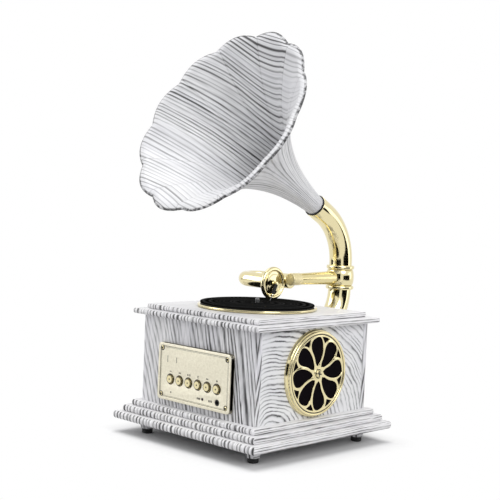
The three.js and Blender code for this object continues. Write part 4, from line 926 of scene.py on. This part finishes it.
def add_cover():
    """The cover in the underside, held by four screws whose slots are painted shade."""
    low, high = (Vector(corner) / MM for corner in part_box("cover_plate"))
    size = high - low
    face = low.z - COVER_PROUD
    outline = rounded_rectangle(size.x, size.y, COVER_CORNER)
    plate = place_bm(flat_plate([outline], size.z, 0.15, 2), Matrix.Translation((0, 0, face)))
    add_piece("base_cover", plate, "black_plastic", "cover_plate")
    turn_over = Matrix.Rotation(pi, 4, "X")
    head = stacked(-0.5, (COVER_SCREW_RADIUS, 0.04))
    for index, (x, y) in enumerate(four_corners(size.x / 2 - COVER_SCREW_INSET)):
        seat = Matrix.Translation((x, y, face)) @ turn_over
        add_turned(f"base_cover_screw_{index + 1}", head, 32, seat, "steel", "cover_plate")
        slots = place_bm(cross_slot_shade(3.4, 0.6, 0.0, radians(20 + 40 * index)), seat)
        add_piece(f"base_cover_slot_shade_{index + 1}", slots, "mark_ink", "cover_plate")


def add_boards():
    add_board("plinth_lower_board", "base_lower_step", 0)
    add_cover()
    add_board("plinth_middle_board", "base_middle_step", 37)
    add_board("plinth_upper_board", "base_upper_step", 91)
    add_board("top_lower_board", "top_lower_step", 153, LOWER_TOP_BORE)
    add_board("top_upper_board", "top_upper_step", 211, UPPER_TOP_BORE)


def add_feet():
    block = rounded([(0, -JOINT_GAP), (FOOT_TOP_RADIUS, -JOINT_GAP), (FOOT_LOW_RADIUS, FOOT_LOW_Z),
                     (0, FOOT_LOW_Z)], {2: 0.8})
    pad = rounded(stacked(PAD_TOP_Z, (PAD_RADIUS, PAD_LOW_Z)), {1: 0.5, 2: 1.2})
    for index, (x, y) in enumerate(four_corners(FOOT_PLACE)):
        seat = Matrix.Translation((x, y, 0))
        add_turned(f"foot_{index + 1}", block, 40, seat, "board_film", f"foot_block_{index + 1}",
                   wrap=fold_film(0, 17 * index))
        add_turned(f"foot_rubber_{index + 1}", pad, 40, seat, "black_rubber", f"foot_pad_{index + 1}")


# Control panel

PANEL_SEAT = Matrix.Translation((0, -CABINET_FACE, PANEL_MIDDLE_Z)) @ Matrix.Rotation(QUARTER_TURN, 4, "X")
BUTTON_ACROSS = [(index - 2.5) * BUTTON_PITCH for index in range(6)]


def on_panel(x, y):
    return PANEL_SEAT @ Matrix.Translation((x, y, 0))


def panel_screw_places():
    x, y = PANEL_WIDTH / 2 - PANEL_SCREW_INSET, PANEL_HEIGHT / 2 - PANEL_SCREW_INSET
    return [(-x, y), (x, y), (x, -y), (-x, -y)]


def add_panel():
    outer = rounded_rectangle(PANEL_WIDTH, PANEL_HEIGHT, PANEL_CORNER)
    inner = rounded_rectangle(PANEL_WIDTH - 2 * PANEL_FRAME, PANEL_HEIGHT - 2 * PANEL_FRAME, 2.9)
    holes = [circle_outline(BUTTON_RADIUS + BUTTON_GAP, 40, (x, -BUTTON_DROP)) for x in BUTTON_ACROSS]
    holes += [circle_outline(JACK_HOLE, 28, JACK_PLACE), circle_outline(LAMP_HOLE, 20, LAMP_PLACE)]
    plate = flat_plate([outer, *holes], PANEL_FIELD, 0.35)
    rim = flat_plate([outer, inner], PANEL_DEPTH, 0.24)
    add_piece("panel_sheet", place_bm(plate, PANEL_SEAT), "brushed_gold", "control_panel")
    add_piece("panel_rim", place_bm(rim, PANEL_SEAT), "brushed_gold", "control_panel")


def add_panel_marks():
    """Plain printed signs for the buttons and sockets, and painted shade: dark rings round the buttons and
    screws, and two lines inside the rim.
    """
    marks = []

    def mark(*outlines):
        plate = flat_plate(outlines, MARK_THICKNESS, MARK_THICKNESS / 5, 0)
        marks.append(place_bm(plate, Matrix.Translation((0, 0, PANEL_FIELD))))

    def bar(x, y, width, height):
        mark(rounded_rectangle(width, height, 0.1, 1, (x, y)))

    def arrow(x, y, size):
        mark([(x - size / 2, y - abs(size) / 2), (x + size / 2, y), (x - size / 2, y + abs(size) / 2)])

    def ring(centre, inner, outer):
        mark(circle_outline(outer, 48, centre), circle_outline(inner, 48, centre))

    sign_y = -BUTTON_DROP + SIGN_LIFT
    last = len(BUTTON_ACROSS) - 1
    for index, x in enumerate(BUTTON_ACROSS):
        # Painted shade: a dark ring round the button's hole.
        ring((x, -BUTTON_DROP), BUTTON_RADIUS + BUTTON_GAP, BUTTON_RADIUS + BUTTON_SHADE_RING)
        if index in (0, last):
            bar(x, sign_y, SIGN_WIDTH, SIGN_STROKE)
            if index == last:
                bar(x, sign_y, SIGN_STROKE, SIGN_WIDTH)
        elif index in (1, 4):
            turn = -1 if index == 1 else 1
            arrow(x - 0.7 * turn, sign_y, 1.7 * turn)
            arrow(x + 0.9 * turn, sign_y, 1.7 * turn)
        elif index == 2:
            arrow(x - 0.9, sign_y, 2.0)
            for shift in (0.9, 2.1):
                bar(x + shift, sign_y, SIGN_FINE_STROKE, SIGN_FINE_WIDTH)
        else:
            for shift in (-0.7, 0.7):
                bar(x, sign_y + shift, SIGN_FINE_WIDTH, SIGN_FINE_STROKE)
    for x, reach in UPPER_STROKES:
        bar(x, UPPER_STROKE_Y, SIGN_STROKE, reach)
    bar(*DOT_PLACE, DOT_SIZE, DOT_SIZE)
    for x in SOCKET_STROKES:
        bar(x, JACK_PLACE[1], *SOCKET_STROKE_SIZE)
    # Painted shade: a dark ring round each screw head.
    for place in panel_screw_places():
        ring(place, PANEL_SCREW_RADIUS, SCREW_SHADE_RING_RADIUS)
    # Painted shade: two dark lines inside the rim.
    width, height = (side - 2 * PANEL_FRAME - PANEL_SHADE_LINE_GAP for side in (PANEL_WIDTH, PANEL_HEIGHT))
    for inset, thickness in PANEL_SHADE_LINES:
        mark(*(rounded_rectangle(width - step, height - step, PANEL_SHADE_LINE_CORNER - step / 2)
               for step in (inset, inset + thickness)))
    add_piece("panel_signs_and_shade", place_bm(join_bm(marks), PANEL_SEAT), "mark_ink", "control_panel")


def add_panel_screws():
    head = rounded([(0, 4.55), (PANEL_SCREW_RADIUS, 4.55), (PANEL_SCREW_RADIUS, 4.9), (0, 5.5)], {2: 0.3})
    for index, place in enumerate(panel_screw_places()):
        node = f"panel_screw_{index + 1}"
        add_turned(f"panel_screw_head_{index + 1}", head, 32, on_panel(*place), "gold", node)
        # The cross slot is painted shade: dark bars over the head.
        slots = cross_slot_shade(3.0, 0.9, 5.47, radians(35 + 50 * index))
        add_piece(f"panel_screw_slot_shade_{index + 1}", place_bm(slots, on_panel(*place)), "mark_ink", node)


def add_buttons():
    """Each button has a stem, a flange behind the panel and a flat cap with a dark dot, and a dark ring of
    painted shade over its edge.
    """
    front = PANEL_FIELD + BUTTON_PROUD
    cap = rounded(stacked(BUTTON_BACK, (BUTTON_STEM_RADIUS, BUTTON_FLANGE_LOW),
                          (BUTTON_FLANGE_RADIUS, BUTTON_FLANGE_HIGH), (BUTTON_RADIUS, front)), {6: 0.35})
    for index, x in enumerate(BUTTON_ACROSS):
        node, seat = f"button_{index + 1}", on_panel(x, -BUTTON_DROP)
        add_turned(f"button_cap_{index + 1}", cap, 48, seat, "gold", node)
        dot = turned(stacked(front - 0.1, (0.8, front + 0.03)), 20)
        # Painted shade: a dark ring over the cap's edge.
        edge = turned([(3.55, front - 0.2), (BUTTON_RADIUS + 0.03, front - 0.2),
                       (BUTTON_RADIUS + 0.03, front - 0.05), (3.7, front + 0.03), (3.55, front + 0.03)], 48)
        add_piece(f"button_dot_and_edge_shade_{index + 1}", place_bm(join_bm([dot, edge]), seat), "mark_ink", node)


def add_sockets():
    jack = rounded(band(1.8, 2.8, -4.6, 4.3), {2: 0.3, 3: 0.2})
    add_turned("jack_nose", jack, 36, on_panel(*JACK_PLACE), "black_plastic", "aux_jack")
    lens = rounded([(0, -6.1), (1.2, -6.1), (1.2, 4.5), (0, 4.7)], {2: 0.4})
    add_turned("lamp_dome", lens, 28, on_panel(*LAMP_PLACE), "lamp_lens", "status_lamp")


# Grilles

def spline_point(points, share):
    """A smooth curve through even knots, as a draughtsman's spline."""
    last = len(points) - 1
    index = min(int(share * last), last - 1)
    local = share * last - index
    p0, p1, p2, p3 = (points[min(max(index + shift, 0), last)] for shift in (-1, 0, 1, 2))
    return 0.5 * ((2 * p1) + (p2 - p0) * local + (2 * p0 - 5 * p1 + 4 * p2 - p3) * local ** 2
                  + (3 * p1 - p0 - 3 * p2 + p3) * local ** 3)


def petal_outline(turn, steps=14):
    """A swirled opening: as wide as the web lets it be along a bent middle line, and round at its tip."""
    knots = [Vector(round_place(share * PETAL_TIP, turn + radians(angle))) for share, angle in PETAL_LINE]
    left, right = [], []
    for i in range(1, steps):
        share = sin(QUARTER_TURN * i / steps)
        point = spline_point(knots, share)
        along = (spline_point(knots, min(1, share + 0.01)) - spline_point(knots, share - 0.01)).normalized()
        across = Vector((-along.y, along.x))
        slant = abs(along.dot(point)) / point.length
        taper = max(0, 2 * share - 1)
        half = (point.length * sin(pi / PETALS) * slant - PETAL_WEB / 2) * sqrt(max(0, 1 - taper * taper))
        left.append(point + across * half)
        right.append(point - across * half)
    return [tuple(p) for p in [knots[0], *left, knots[-1], *reversed(right)]]


def corner_outline(turn):
    """The small opening between two petals' tips and the rim."""
    return [round_place(share * GRILLE_INNER, turn + radians(angle)) for share, angle in CORNER_LINE]


def add_grille(side, seat):
    node = f"{side}_grille"
    outlines = [circle_outline(GRILLE_INNER + GRILLE_PLATE_OVERLAP, 96)]
    for index in range(PETALS):
        turn = index * FULL_TURN / PETALS
        outlines += [petal_outline(turn), corner_outline(turn)]
    plate = flat_plate(outlines, GRILLE_PLATE_FRONT - GRILLE_PLATE_BACK, 0.3, 3)
    place_bm(plate, seat @ Matrix.Translation((0, 0, GRILLE_PLATE_BACK)))
    add_piece(f"{side}_grille_petals", plate, "gold", node)
    rim = rounded([(GRILLE_INNER, 0), (GRILLE_RADIUS, 0), (GRILLE_RADIUS, RIM_EDGE),
                   (RIM_CONE_RADIUS, RIM_STEP), (RIM_CROWN_FOOT, RIM_STEP),
                   (RIM_CROWN_RADIUS, GRILLE_HEIGHT), (RIM_GROOVE_OUTER, GRILLE_HEIGHT),
                   (RIM_GROOVE_OUTER, RIM_STEP), (RIM_GROOVE_INNER, RIM_STEP),
                   (RIM_GROOVE_INNER, RIM_INNER_HEIGHT), (GRILLE_INNER, RIM_INNER_HEIGHT)],
                  {2: 0.4, 3: 0.3, 4: 0.3, 5: 1.0, 6: 0.9, 9: 0.15, 10: 0.3})
    add_turned(f"{side}_grille_rim", rim, 128, seat, "gold", node)
    # Painted shade: a dark ring in the rim's groove.
    add_turned(f"{side}_grille_groove_shade", band(*GROOVE_PAINTED_SHADE), 128, seat, "mark_ink", node)
    front = GRILLE_PLATE_FRONT
    hub = rounded([(0, HUB_FOOT), (HUB_RADIUS, HUB_FOOT), (HUB_RADIUS, front + HUB_HEIGHT),
                   (HUB_BUTTON_RADIUS, front + HUB_HEIGHT),
                   (HUB_BUTTON_TOP_RADIUS, front + HUB_BUTTON_HEIGHT), (0, front + HUB_CROWN_HEIGHT)],
                  {2: 0.45, 3: 0.3, 4: 0.6})
    add_turned(f"{side}_grille_hub", hub, 48, seat, "gold", node)
    # The hub's cross slot is painted shade: dark bars over its crown.
    slots = cross_slot_shade(HUB_SLOT_REACH, HUB_SLOT_WIDTH, front + HUB_CROWN_HEIGHT - 0.04, radians(-12))
    add_piece(f"{side}_grille_hub_slot_shade", place_bm(slots, seat), "mark_ink", node)
    # Painted shade: a dark ring round the hub's button.
    ring = band(HUB_BUTTON_RADIUS, HUB_SHADE_RING_RADIUS, front + HUB_HEIGHT - 0.1, front + HUB_HEIGHT + 0.04)
    add_turned(f"{side}_grille_hub_shade_ring", ring, 48, seat, "mark_ink", node)


def add_grilles():
    for side, turn in (("right", QUARTER_TURN), ("left", -QUARTER_TURN)):
        wall = Matrix.Rotation(turn, 4, "Z") @ Matrix.Translation((0, -CABINET_FACE, GRILLE_MIDDLE_Z))
        add_grille(side, wall @ Matrix.Rotation(QUARTER_TURN, 4, "X"))


# Turntable

def add_turntable():
    def disc(radius, low, thickness, edge):
        profile = band(DISC_BORE, radius, low, low + thickness)
        return turned(rounded(profile, {1: edge, 2: edge}, 6), 160)

    add_piece("platter_disc", disc(PLATTER_RADIUS, PLATTER_Z, PLATTER_THICKNESS, 0.8), "gold", "platter")
    add_piece("felt_mat", disc(MAT_RADIUS, MAT_Z, MAT_THICKNESS, 0.3), "black_rubber", "slip_mat")
    add_piece("record_disc", disc(RECORD_RADIUS, RECORD_Z, RECORD_THICKNESS, 0.6), "record_vinyl", "record")
    pin = rounded(stacked(SPINDLE_BOTTOM, (SPINDLE_RADIUS, SPINDLE_FLANGE_LOW),
                          (SPINDLE_FLANGE_RADIUS, SPINDLE_FLANGE_HIGH), (SPINDLE_PIN_RADIUS, SPINDLE_TOP)),
                  {6: 1.6})
    add_piece("spindle_pin", turned(pin, 40), "dark_steel", "spindle")


# Horn post, tonearm and soundbox

ON_POST = Matrix.Translation((0, POST_Y, 0))


def bead_profile(bore, z):
    return rounded(band(bore, BEAD_RADIUS, z, z + BEAD_HEIGHT), {1: BEAD_ROUND, 2: BEAD_ROUND}, 6)


def add_post():
    start = Vector((0, CABINET_FACE, POST_FLANGE_Z))
    path = bent_path(start, Y, Z, [(POST_RUN, 0, 0), (0, POST_BEND, QUARTER_TURN), (BEAD_HEIGHT / 2, 0, 0)])
    add_piece("post_pipe", swept(ring_seats(path, X, PIPE_RADIUS), 64), "gold", "horn_post")
    on_wall = Matrix.Translation(start) @ Matrix.Rotation(-QUARTER_TURN, 4, "X")
    flange = rounded([(POST_BORE, 0), (POST_FLANGE_RADIUS, 0), (POST_FLANGE_RADIUS, POST_FLANGE_HEIGHT),
                      (12.4, POST_FLANGE_HEIGHT), (POST_BORE, POST_FLANGE_HEIGHT)], {2: 1.2})
    add_turned("post_flange", flange, 80, on_wall, "gold", "horn_post")
    stub = band(POST_BORE, STUB_RADIUS, -STUB_LENGTH, 0.5)
    add_turned("post_stub", stub, 40, on_wall, "gold", "horn_post")
    add_turned("post_bead", bead_profile(SPIGOT_BORE, POST_TOP_Z), 96, ON_POST, "gold", "horn_post")
    spigot = band(SPIGOT_BORE, SPIGOT_RADIUS, POST_TOP_Z + 1, SPIGOT_TOP_Z)
    add_turned("post_spigot", spigot, 48, ON_POST, "gold", "horn_post")


def add_tonearm():
    bore, edge, low, top = COLLAR_BORE, COLLAR_EDGE, COLLAR_Z, COLLAR_Z + COLLAR_HEIGHT
    middle = low + COLLAR_HEIGHT / 2
    bulge = [(COLLAR_RADIUS + COLLAR_BULGE * cos(angle), middle + COLLAR_HEIGHT / 2 * sin(angle))
             for angle in (radians(-84 + 12 * step) for step in range(15))]
    collar = [(bore, low), (edge, low), *bulge, (edge, top), (bore, top)]
    add_turned("arm_collar", collar, 96, ON_POST, "gold", "tonearm_collar")
    lie = Matrix.Rotation(QUARTER_TURN, 4, "X")
    length = ARM_ROOT_Y - ARM_END_Y
    tube = rounded([(ARM_BORE, 0), (ARM_ROOT_RADIUS, 0), (ARM_END_RADIUS, length), (ARM_BORE, length)],
                   {2: 0.3})
    root = Matrix.Translation((0, ARM_ROOT_Y, ARM_Z)) @ lie
    add_turned("arm_tube", tube, 64, root, "satin_gold", "tonearm_tube")
    block = rounded(stacked(-ARM_PLUG_LENGTH, (ARM_PLUG_RADIUS, JOINT_GAP),
                            (ARM_BLOCK_RADIUS, ARM_BLOCK_LENGTH)), {3: 0.5, 4: 0.9})
    end = Matrix.Translation((0, ARM_END_Y, ARM_Z)) @ lie
    add_turned("arm_end", block, 64, end, "matt_gold", "tonearm_end_block")
    pin = rounded(stacked(0, (PIVOT_RADIUS, PIVOT_LENGTH)), {2: 0.5})
    pivot = Matrix.Translation((0, PIVOT_Y, PIVOT_Z)) @ Matrix.Rotation(-QUARTER_TURN, 4, "Y")
    add_turned("arm_pivot", pin, 40, pivot, "gold", "tonearm_end_block")


def add_gooseneck():
    start = Vector((GOOSENECK_START_X, PIVOT_Y, PIVOT_Z))
    far, near = GOOSENECK_START_X - GOOSENECK_TURN_X, GOOSENECK_END_X - GOOSENECK_TURN_X
    path = bent_path(start, -X, -Y, [(far, 0, 0), (0, GOOSENECK_BEND, pi), (near, 0, 0)], radians(4))
    bm = swept(ring_seats(path, Z, GOOSENECK_RADIUS), 56)
    ease_edges(bm, 0.9, 4)
    add_piece("gooseneck_tube", bm, "gold", "gooseneck")


SOUNDBOX_PLACE = (GOOSENECK_END_X + JOINT_GAP, SOUNDBOX_Y, SOUNDBOX_Z)
SOUNDBOX_SEAT = Matrix.Translation(SOUNDBOX_PLACE) @ Matrix.Rotation(QUARTER_TURN, 4, "Y")


def add_soundbox():
    back, front, well = SOUNDBOX_BACK, SOUNDBOX_FRONT, SOUNDBOX_FRONT - SOUNDBOX_WELL_DEPTH
    shell = rounded([(0, back), (SOUNDBOX_RADIUS, back), (SOUNDBOX_RADIUS, front),
                     (SOUNDBOX_WELL_RADIUS + 0.5, front), (SOUNDBOX_WELL_RADIUS, well), (0, well)],
                    {1: 2.1, 2: 2.1, 3: 1.3, 4: 0.4}, 8)
    add_turned("soundbox_shell", shell, 112, SOUNDBOX_SEAT, "gold", "soundbox_body")
    boss = rounded(stacked(-BOSS_SPIGOT_LENGTH, (BOSS_SPIGOT_RADIUS, 0), (BOSS_RADIUS, back + 0.3)),
                   {3: 0.6})
    seat = SOUNDBOX_SEAT @ Matrix.Translation((-BOSS_SHIFT, 0, 0))
    add_turned("soundbox_boss", boss, 56, seat, "gold", "soundbox_body")
    floor = well + JOINT_GAP
    crown = floor + 1.15
    rise = [(DOME_CROWN_RADIUS * (1 - step / 10), crown + DOME_CROWN_RISE * sin(QUARTER_TURN * step / 10))
            for step in range(11)]
    dome = [(0, floor), (DOME_RADIUS, floor), (DOME_RADIUS, floor + 0.4), (10.2, floor + 0.5),
            (9.2, floor + 0.95), *rise]
    add_turned("soundbox_dome", dome, 96, SOUNDBOX_SEAT, "gold", "soundbox_diaphragm")
    add_needle(floor + DOME_RISE)


def add_needle(dome_top):
    """A stud on the dome, a bar that slants down from it in a black rubber sleeve, and the needle at its end.
    The sleeve is a part, and its black along the whole bar is also a painted reflection: the bar's dark
    reflection.
    """
    foot = dome_top + JOINT_GAP
    hinge = SOUNDBOX_SEAT @ Vector((0, 0, foot + 1.0 + NEEDLE_BAR_RADIUS))
    along = Matrix.Translation(hinge) @ Matrix.Rotation(pi - NEEDLE_SLANT, 4, "X")
    bar = rounded(stacked(-1, (NEEDLE_BAR_RADIUS, NEEDLE_BAR_LENGTH),
                          (NEEDLE_CHUCK_RADIUS, NEEDLE_CHUCK_END)), {1: 0.6, 3: 0.4, 4: 0.4})
    add_turned("needle_arm", bar, 32, along, "gold", "needle_bar")
    # Painted reflection: the black sleeve along the bar stands in for its dark reflection.
    sleeve = rounded(band(NEEDLE_BAR_RADIUS + 0.02, NEEDLE_SLEEVE_RADIUS, NEEDLE_SLEEVE_START,
                          NEEDLE_BAR_LENGTH), {1: 0.3, 2: 0.2})
    add_turned("needle_sleeve", sleeve, 32, along, "black_rubber", "needle_bar")
    stud = rounded(stacked(0, (NEEDLE_STUD_RADIUS, NEEDLE_STUD_HEIGHT)), {2: 0.8})
    seat = SOUNDBOX_SEAT @ Matrix.Translation((0, 0, foot))
    add_turned("needle_stud", stud, 32, seat, "gold", "needle_bar")
    start = NEEDLE_CHUCK_END + JOINT_GAP
    reach = (SOUNDBOX_Z - RECORD_TOP_Z - NEEDLE_TIP_GAP) / cos(NEEDLE_SLANT)
    point = [(0, start), (0.6, start), (0.6, (start + reach) / 2), (0.2, reach), (0, reach)]
    add_turned("needle_point", point, 20, along, "dark_steel", "needle")


# Horn

def add_elbow():
    runs = [(ELBOW_RISE, 0, 0), (0, ELBOW_BEND, QUARTER_TURN - HORN_ELEVATION), (ELBOW_RUN, 0, 0)]
    path = bent_path(Vector((0, POST_Y, ELBOW_Z)), Z, -Y, runs)
    outer = ring_seats(path, X, PIPE_RADIUS)
    inner = ring_seats(path, X, PIPE_RADIUS - PIPE_WALL)
    bm = swept(outer + inner[::-1], 64, hollow=True)
    ease_edges(bm, 0.35)
    add_piece("elbow_pipe", bm, "gold", "horn_elbow")
    add_turned("elbow_bead", bead_profile(ELBOW_BEAD_BORE, ELBOW_Z), 96, ON_POST, "gold", "horn_elbow")


HORN_SEAT = Matrix.Translation(HORN_MOUTH) @ Matrix.Rotation(QUARTER_TURN - HORN_ELEVATION, 4, "X")


def clamped(share):
    return min(1.0, max(0.0, share))


def horn_rows():
    """Radius, place along the axis and slope of the horn's outer face, from the neck to the rolled lip."""
    rows = [(HORN_THROAT, -HORN_NECK, 0.0)]
    for step in range(HORN_ROWS + 1):
        share = step / HORN_ROWS
        slope = HORN_TAPER + HORN_FLARE * HORN_POWER * share ** (HORN_POWER - 1)
        rows.append((HORN_THROAT + HORN_TAPER * share + HORN_FLARE * share ** HORN_POWER, share * HORN_LENGTH,
                     atan2(slope, HORN_LENGTH) if step else 0.0))
    radius, along, slope = rows[-1]
    back = HORN_LIP - HORN_WALL
    for step in range(1, HORN_LIP_ROWS + 1):
        angle = slope + HORN_LIP_TURN * step / HORN_LIP_ROWS
        rows.append((radius + back * (cos(slope) - cos(angle)),
                     along + back * (sin(angle) - sin(slope)), angle))
    return rows


def fold_petals(bm, rim_end):
    """Swell the turned horn into petals, and mark the band along its cut edge, where shade is painted."""
    flare_end = HORN_THROAT + HORN_TAPER + HORN_FLARE
    edge = bm.verts.layers.float.new("edge")
    for point in bm.verts:
        radius = point.co.xy.length
        away = (Vector((radius, 0, point.co.z)) - rim_end).length
        point[edge] = clamped((HORN_EDGE_BAND - away) / HORN_EDGE_FADE)
        lobe = abs(sin(atan2(point.co.y, point.co.x) * HORN_PETALS / 2))
        grow = 1 + HORN_PETAL_SHARE * clamped(point.co.z / HORN_PETAL_FADE) * lobe
        lead = HORN_PETAL_LEAD * lobe * (radius / flare_end) ** 2
        point.co = (point.co.x * grow, point.co.y * grow, point.co.z + lead)


def lay_horn_film(bm):
    """Inside, the film's lines lie nearly level with the horn's axis. Outside, they run along the neck
    and fan out."""
    film = bm.loops.layers.uv.new("film")
    petal = bm.loops.layers.uv.new("petal")
    density = bm.loops.layers.uv.new("density")
    edge = bm.verts.layers.float.get("edge")
    into = (HORN_SEAT.to_3x3() @ Z).normalized()
    lift = into.cross(X)
    mouth = HORN_MOUTH * MM
    bend_reach_squared = (HORN_FILM_BEND_REACH * MM) ** 2
    for face in bm.faces:
        middle = face.calc_center_median() - mouth
        radial = (middle - into * middle.dot(into)).normalized()
        outside = face.normal.dot(radial) > face.normal.dot(into)
        round_middle = atan2(middle.dot(lift), middle.x)
        index = int((-round_middle - HORN_CLOCKING) % FULL_TURN * HORN_PETALS / FULL_TURN)
        axis = -(index + 0.5) * FULL_TURN / HORN_PETALS - HORN_CLOCKING
        for loop in face.loops:
            place = loop.vert.co - mouth
            up, along = place.dot(lift), place.dot(into)
            depth = along / (HORN_LENGTH * MM)
            turn = atan2(-up, place.x) - HORN_CLOCKING
            fold = abs(sin(turn * HORN_PETALS / 2))
            # The fold's place and the petals' fade, from which shade is painted along the folds.
            loop[petal].uv = (fold, clamped((depth - HORN_PETAL_START) / 0.3))
            if outside:
                swing = (atan2(up, place.x) - round_middle + pi) % FULL_TURN - pi
                across = (round_middle + swing) * HORN_FAN * MM
                print_share = HORN_PRINT_OUTSIDE
            else:
                past = place.x - HORN_FILM_BEND_X * MM
                bend = HORN_FILM_BEND * (past + sqrt(past * past + bend_reach_squared))
                near_rim = clamped((depth - HORN_PETAL_START) / 0.35)
                off_axis = up * cos(axis) - place.x * sin(axis)
                across = up + HORN_FILM_SLANT * place.x + bend + PETAL_LEAN[index] * off_axis * near_rim
                common = HORN_PRINT_INSIDE - HORN_PRINT_LOSS * clamped((HORN_PETAL_START - depth) / 0.3)
                print_share = common + (PETAL_PRINT[index] - common) * near_rim
            loop[film].uv = (across, along)
            # The print's strength, and the painted shade along the cut edge.
            loop[density].uv = (print_share, HORN_EDGE_PAINTED_SHADE * loop.vert[edge])


def add_horn():
    outer = horn_rows()
    inner = [(radius - HORN_WALL * cos(slope), along + HORN_WALL * sin(slope))
             for radius, along, slope in reversed(outer)]
    bm = turned([(radius, along) for radius, along, _ in outer] + inner, HORN_PETALS * HORN_STEPS_PER_PETAL)
    fold_petals(bm, Vector((outer[-1][0], 0, outer[-1][1])))
    place_bm(bm, HORN_SEAT @ Matrix.Rotation(HORN_CLOCKING, 4, "Z"))
    add_piece("horn_flare", bm, "horn_film", "horn_bell", smooth_to=30, wrap=lay_horn_film)
    seal = rounded(band(SEAL_INNER, SEAL_OUTER, JOINT_GAP, SEAL_HEIGHT), {1: 0.3, 2: 0.3})
    add_turned("horn_seal", seal, 72, HORN_SEAT, "black_rubber", "horn_seal_ring")


# Power inlet, walls and the parts inside

def add_inlet():
    out = Matrix.Translation(INLET_PLACE) @ Matrix.Rotation(-QUARTER_TURN, 4, "X")
    shell = rounded([(0, -14), (INLET_RADIUS, -14), (INLET_RADIUS, -0.1), (INLET_RADIUS, 0),
                     (INLET_LIP_RADIUS, 0), (INLET_LIP_RADIUS, INLET_LIP_HEIGHT),
                     (INLET_WELL_RADIUS, INLET_LIP_HEIGHT), (INLET_WELL_RADIUS, -7.5), (0, -7.5)],
                    {5: 0.5, 6: 0.4})
    add_turned("inlet_shell", shell, 56, out, "black_plastic", "power_inlet")
    pin = rounded(stacked(-7.6, (1, -0.5)), {2: 0.4})
    add_turned("inlet_pin", pin, 24, out, "steel", "power_inlet")


def paint_the_rest():
    """The walls and the parts inside keep the frame's own shapes."""
    for node, slot in slot_of.items():
        paint(node, FINISH_OF_WALL.get(node, FINISH_OF_SLOT.get(slot, slot)))


add_camera()
finishes = make_finishes()
light_the_set()
paint_the_rest()
add_boards()
add_feet()
add_panel()
add_panel_marks()
add_panel_screws()
add_buttons()
add_sockets()
add_grilles()
add_turntable()
add_post()
add_tonearm()
add_gooseneck()
add_soundbox()
add_elbow()
add_horn()
add_inlet()
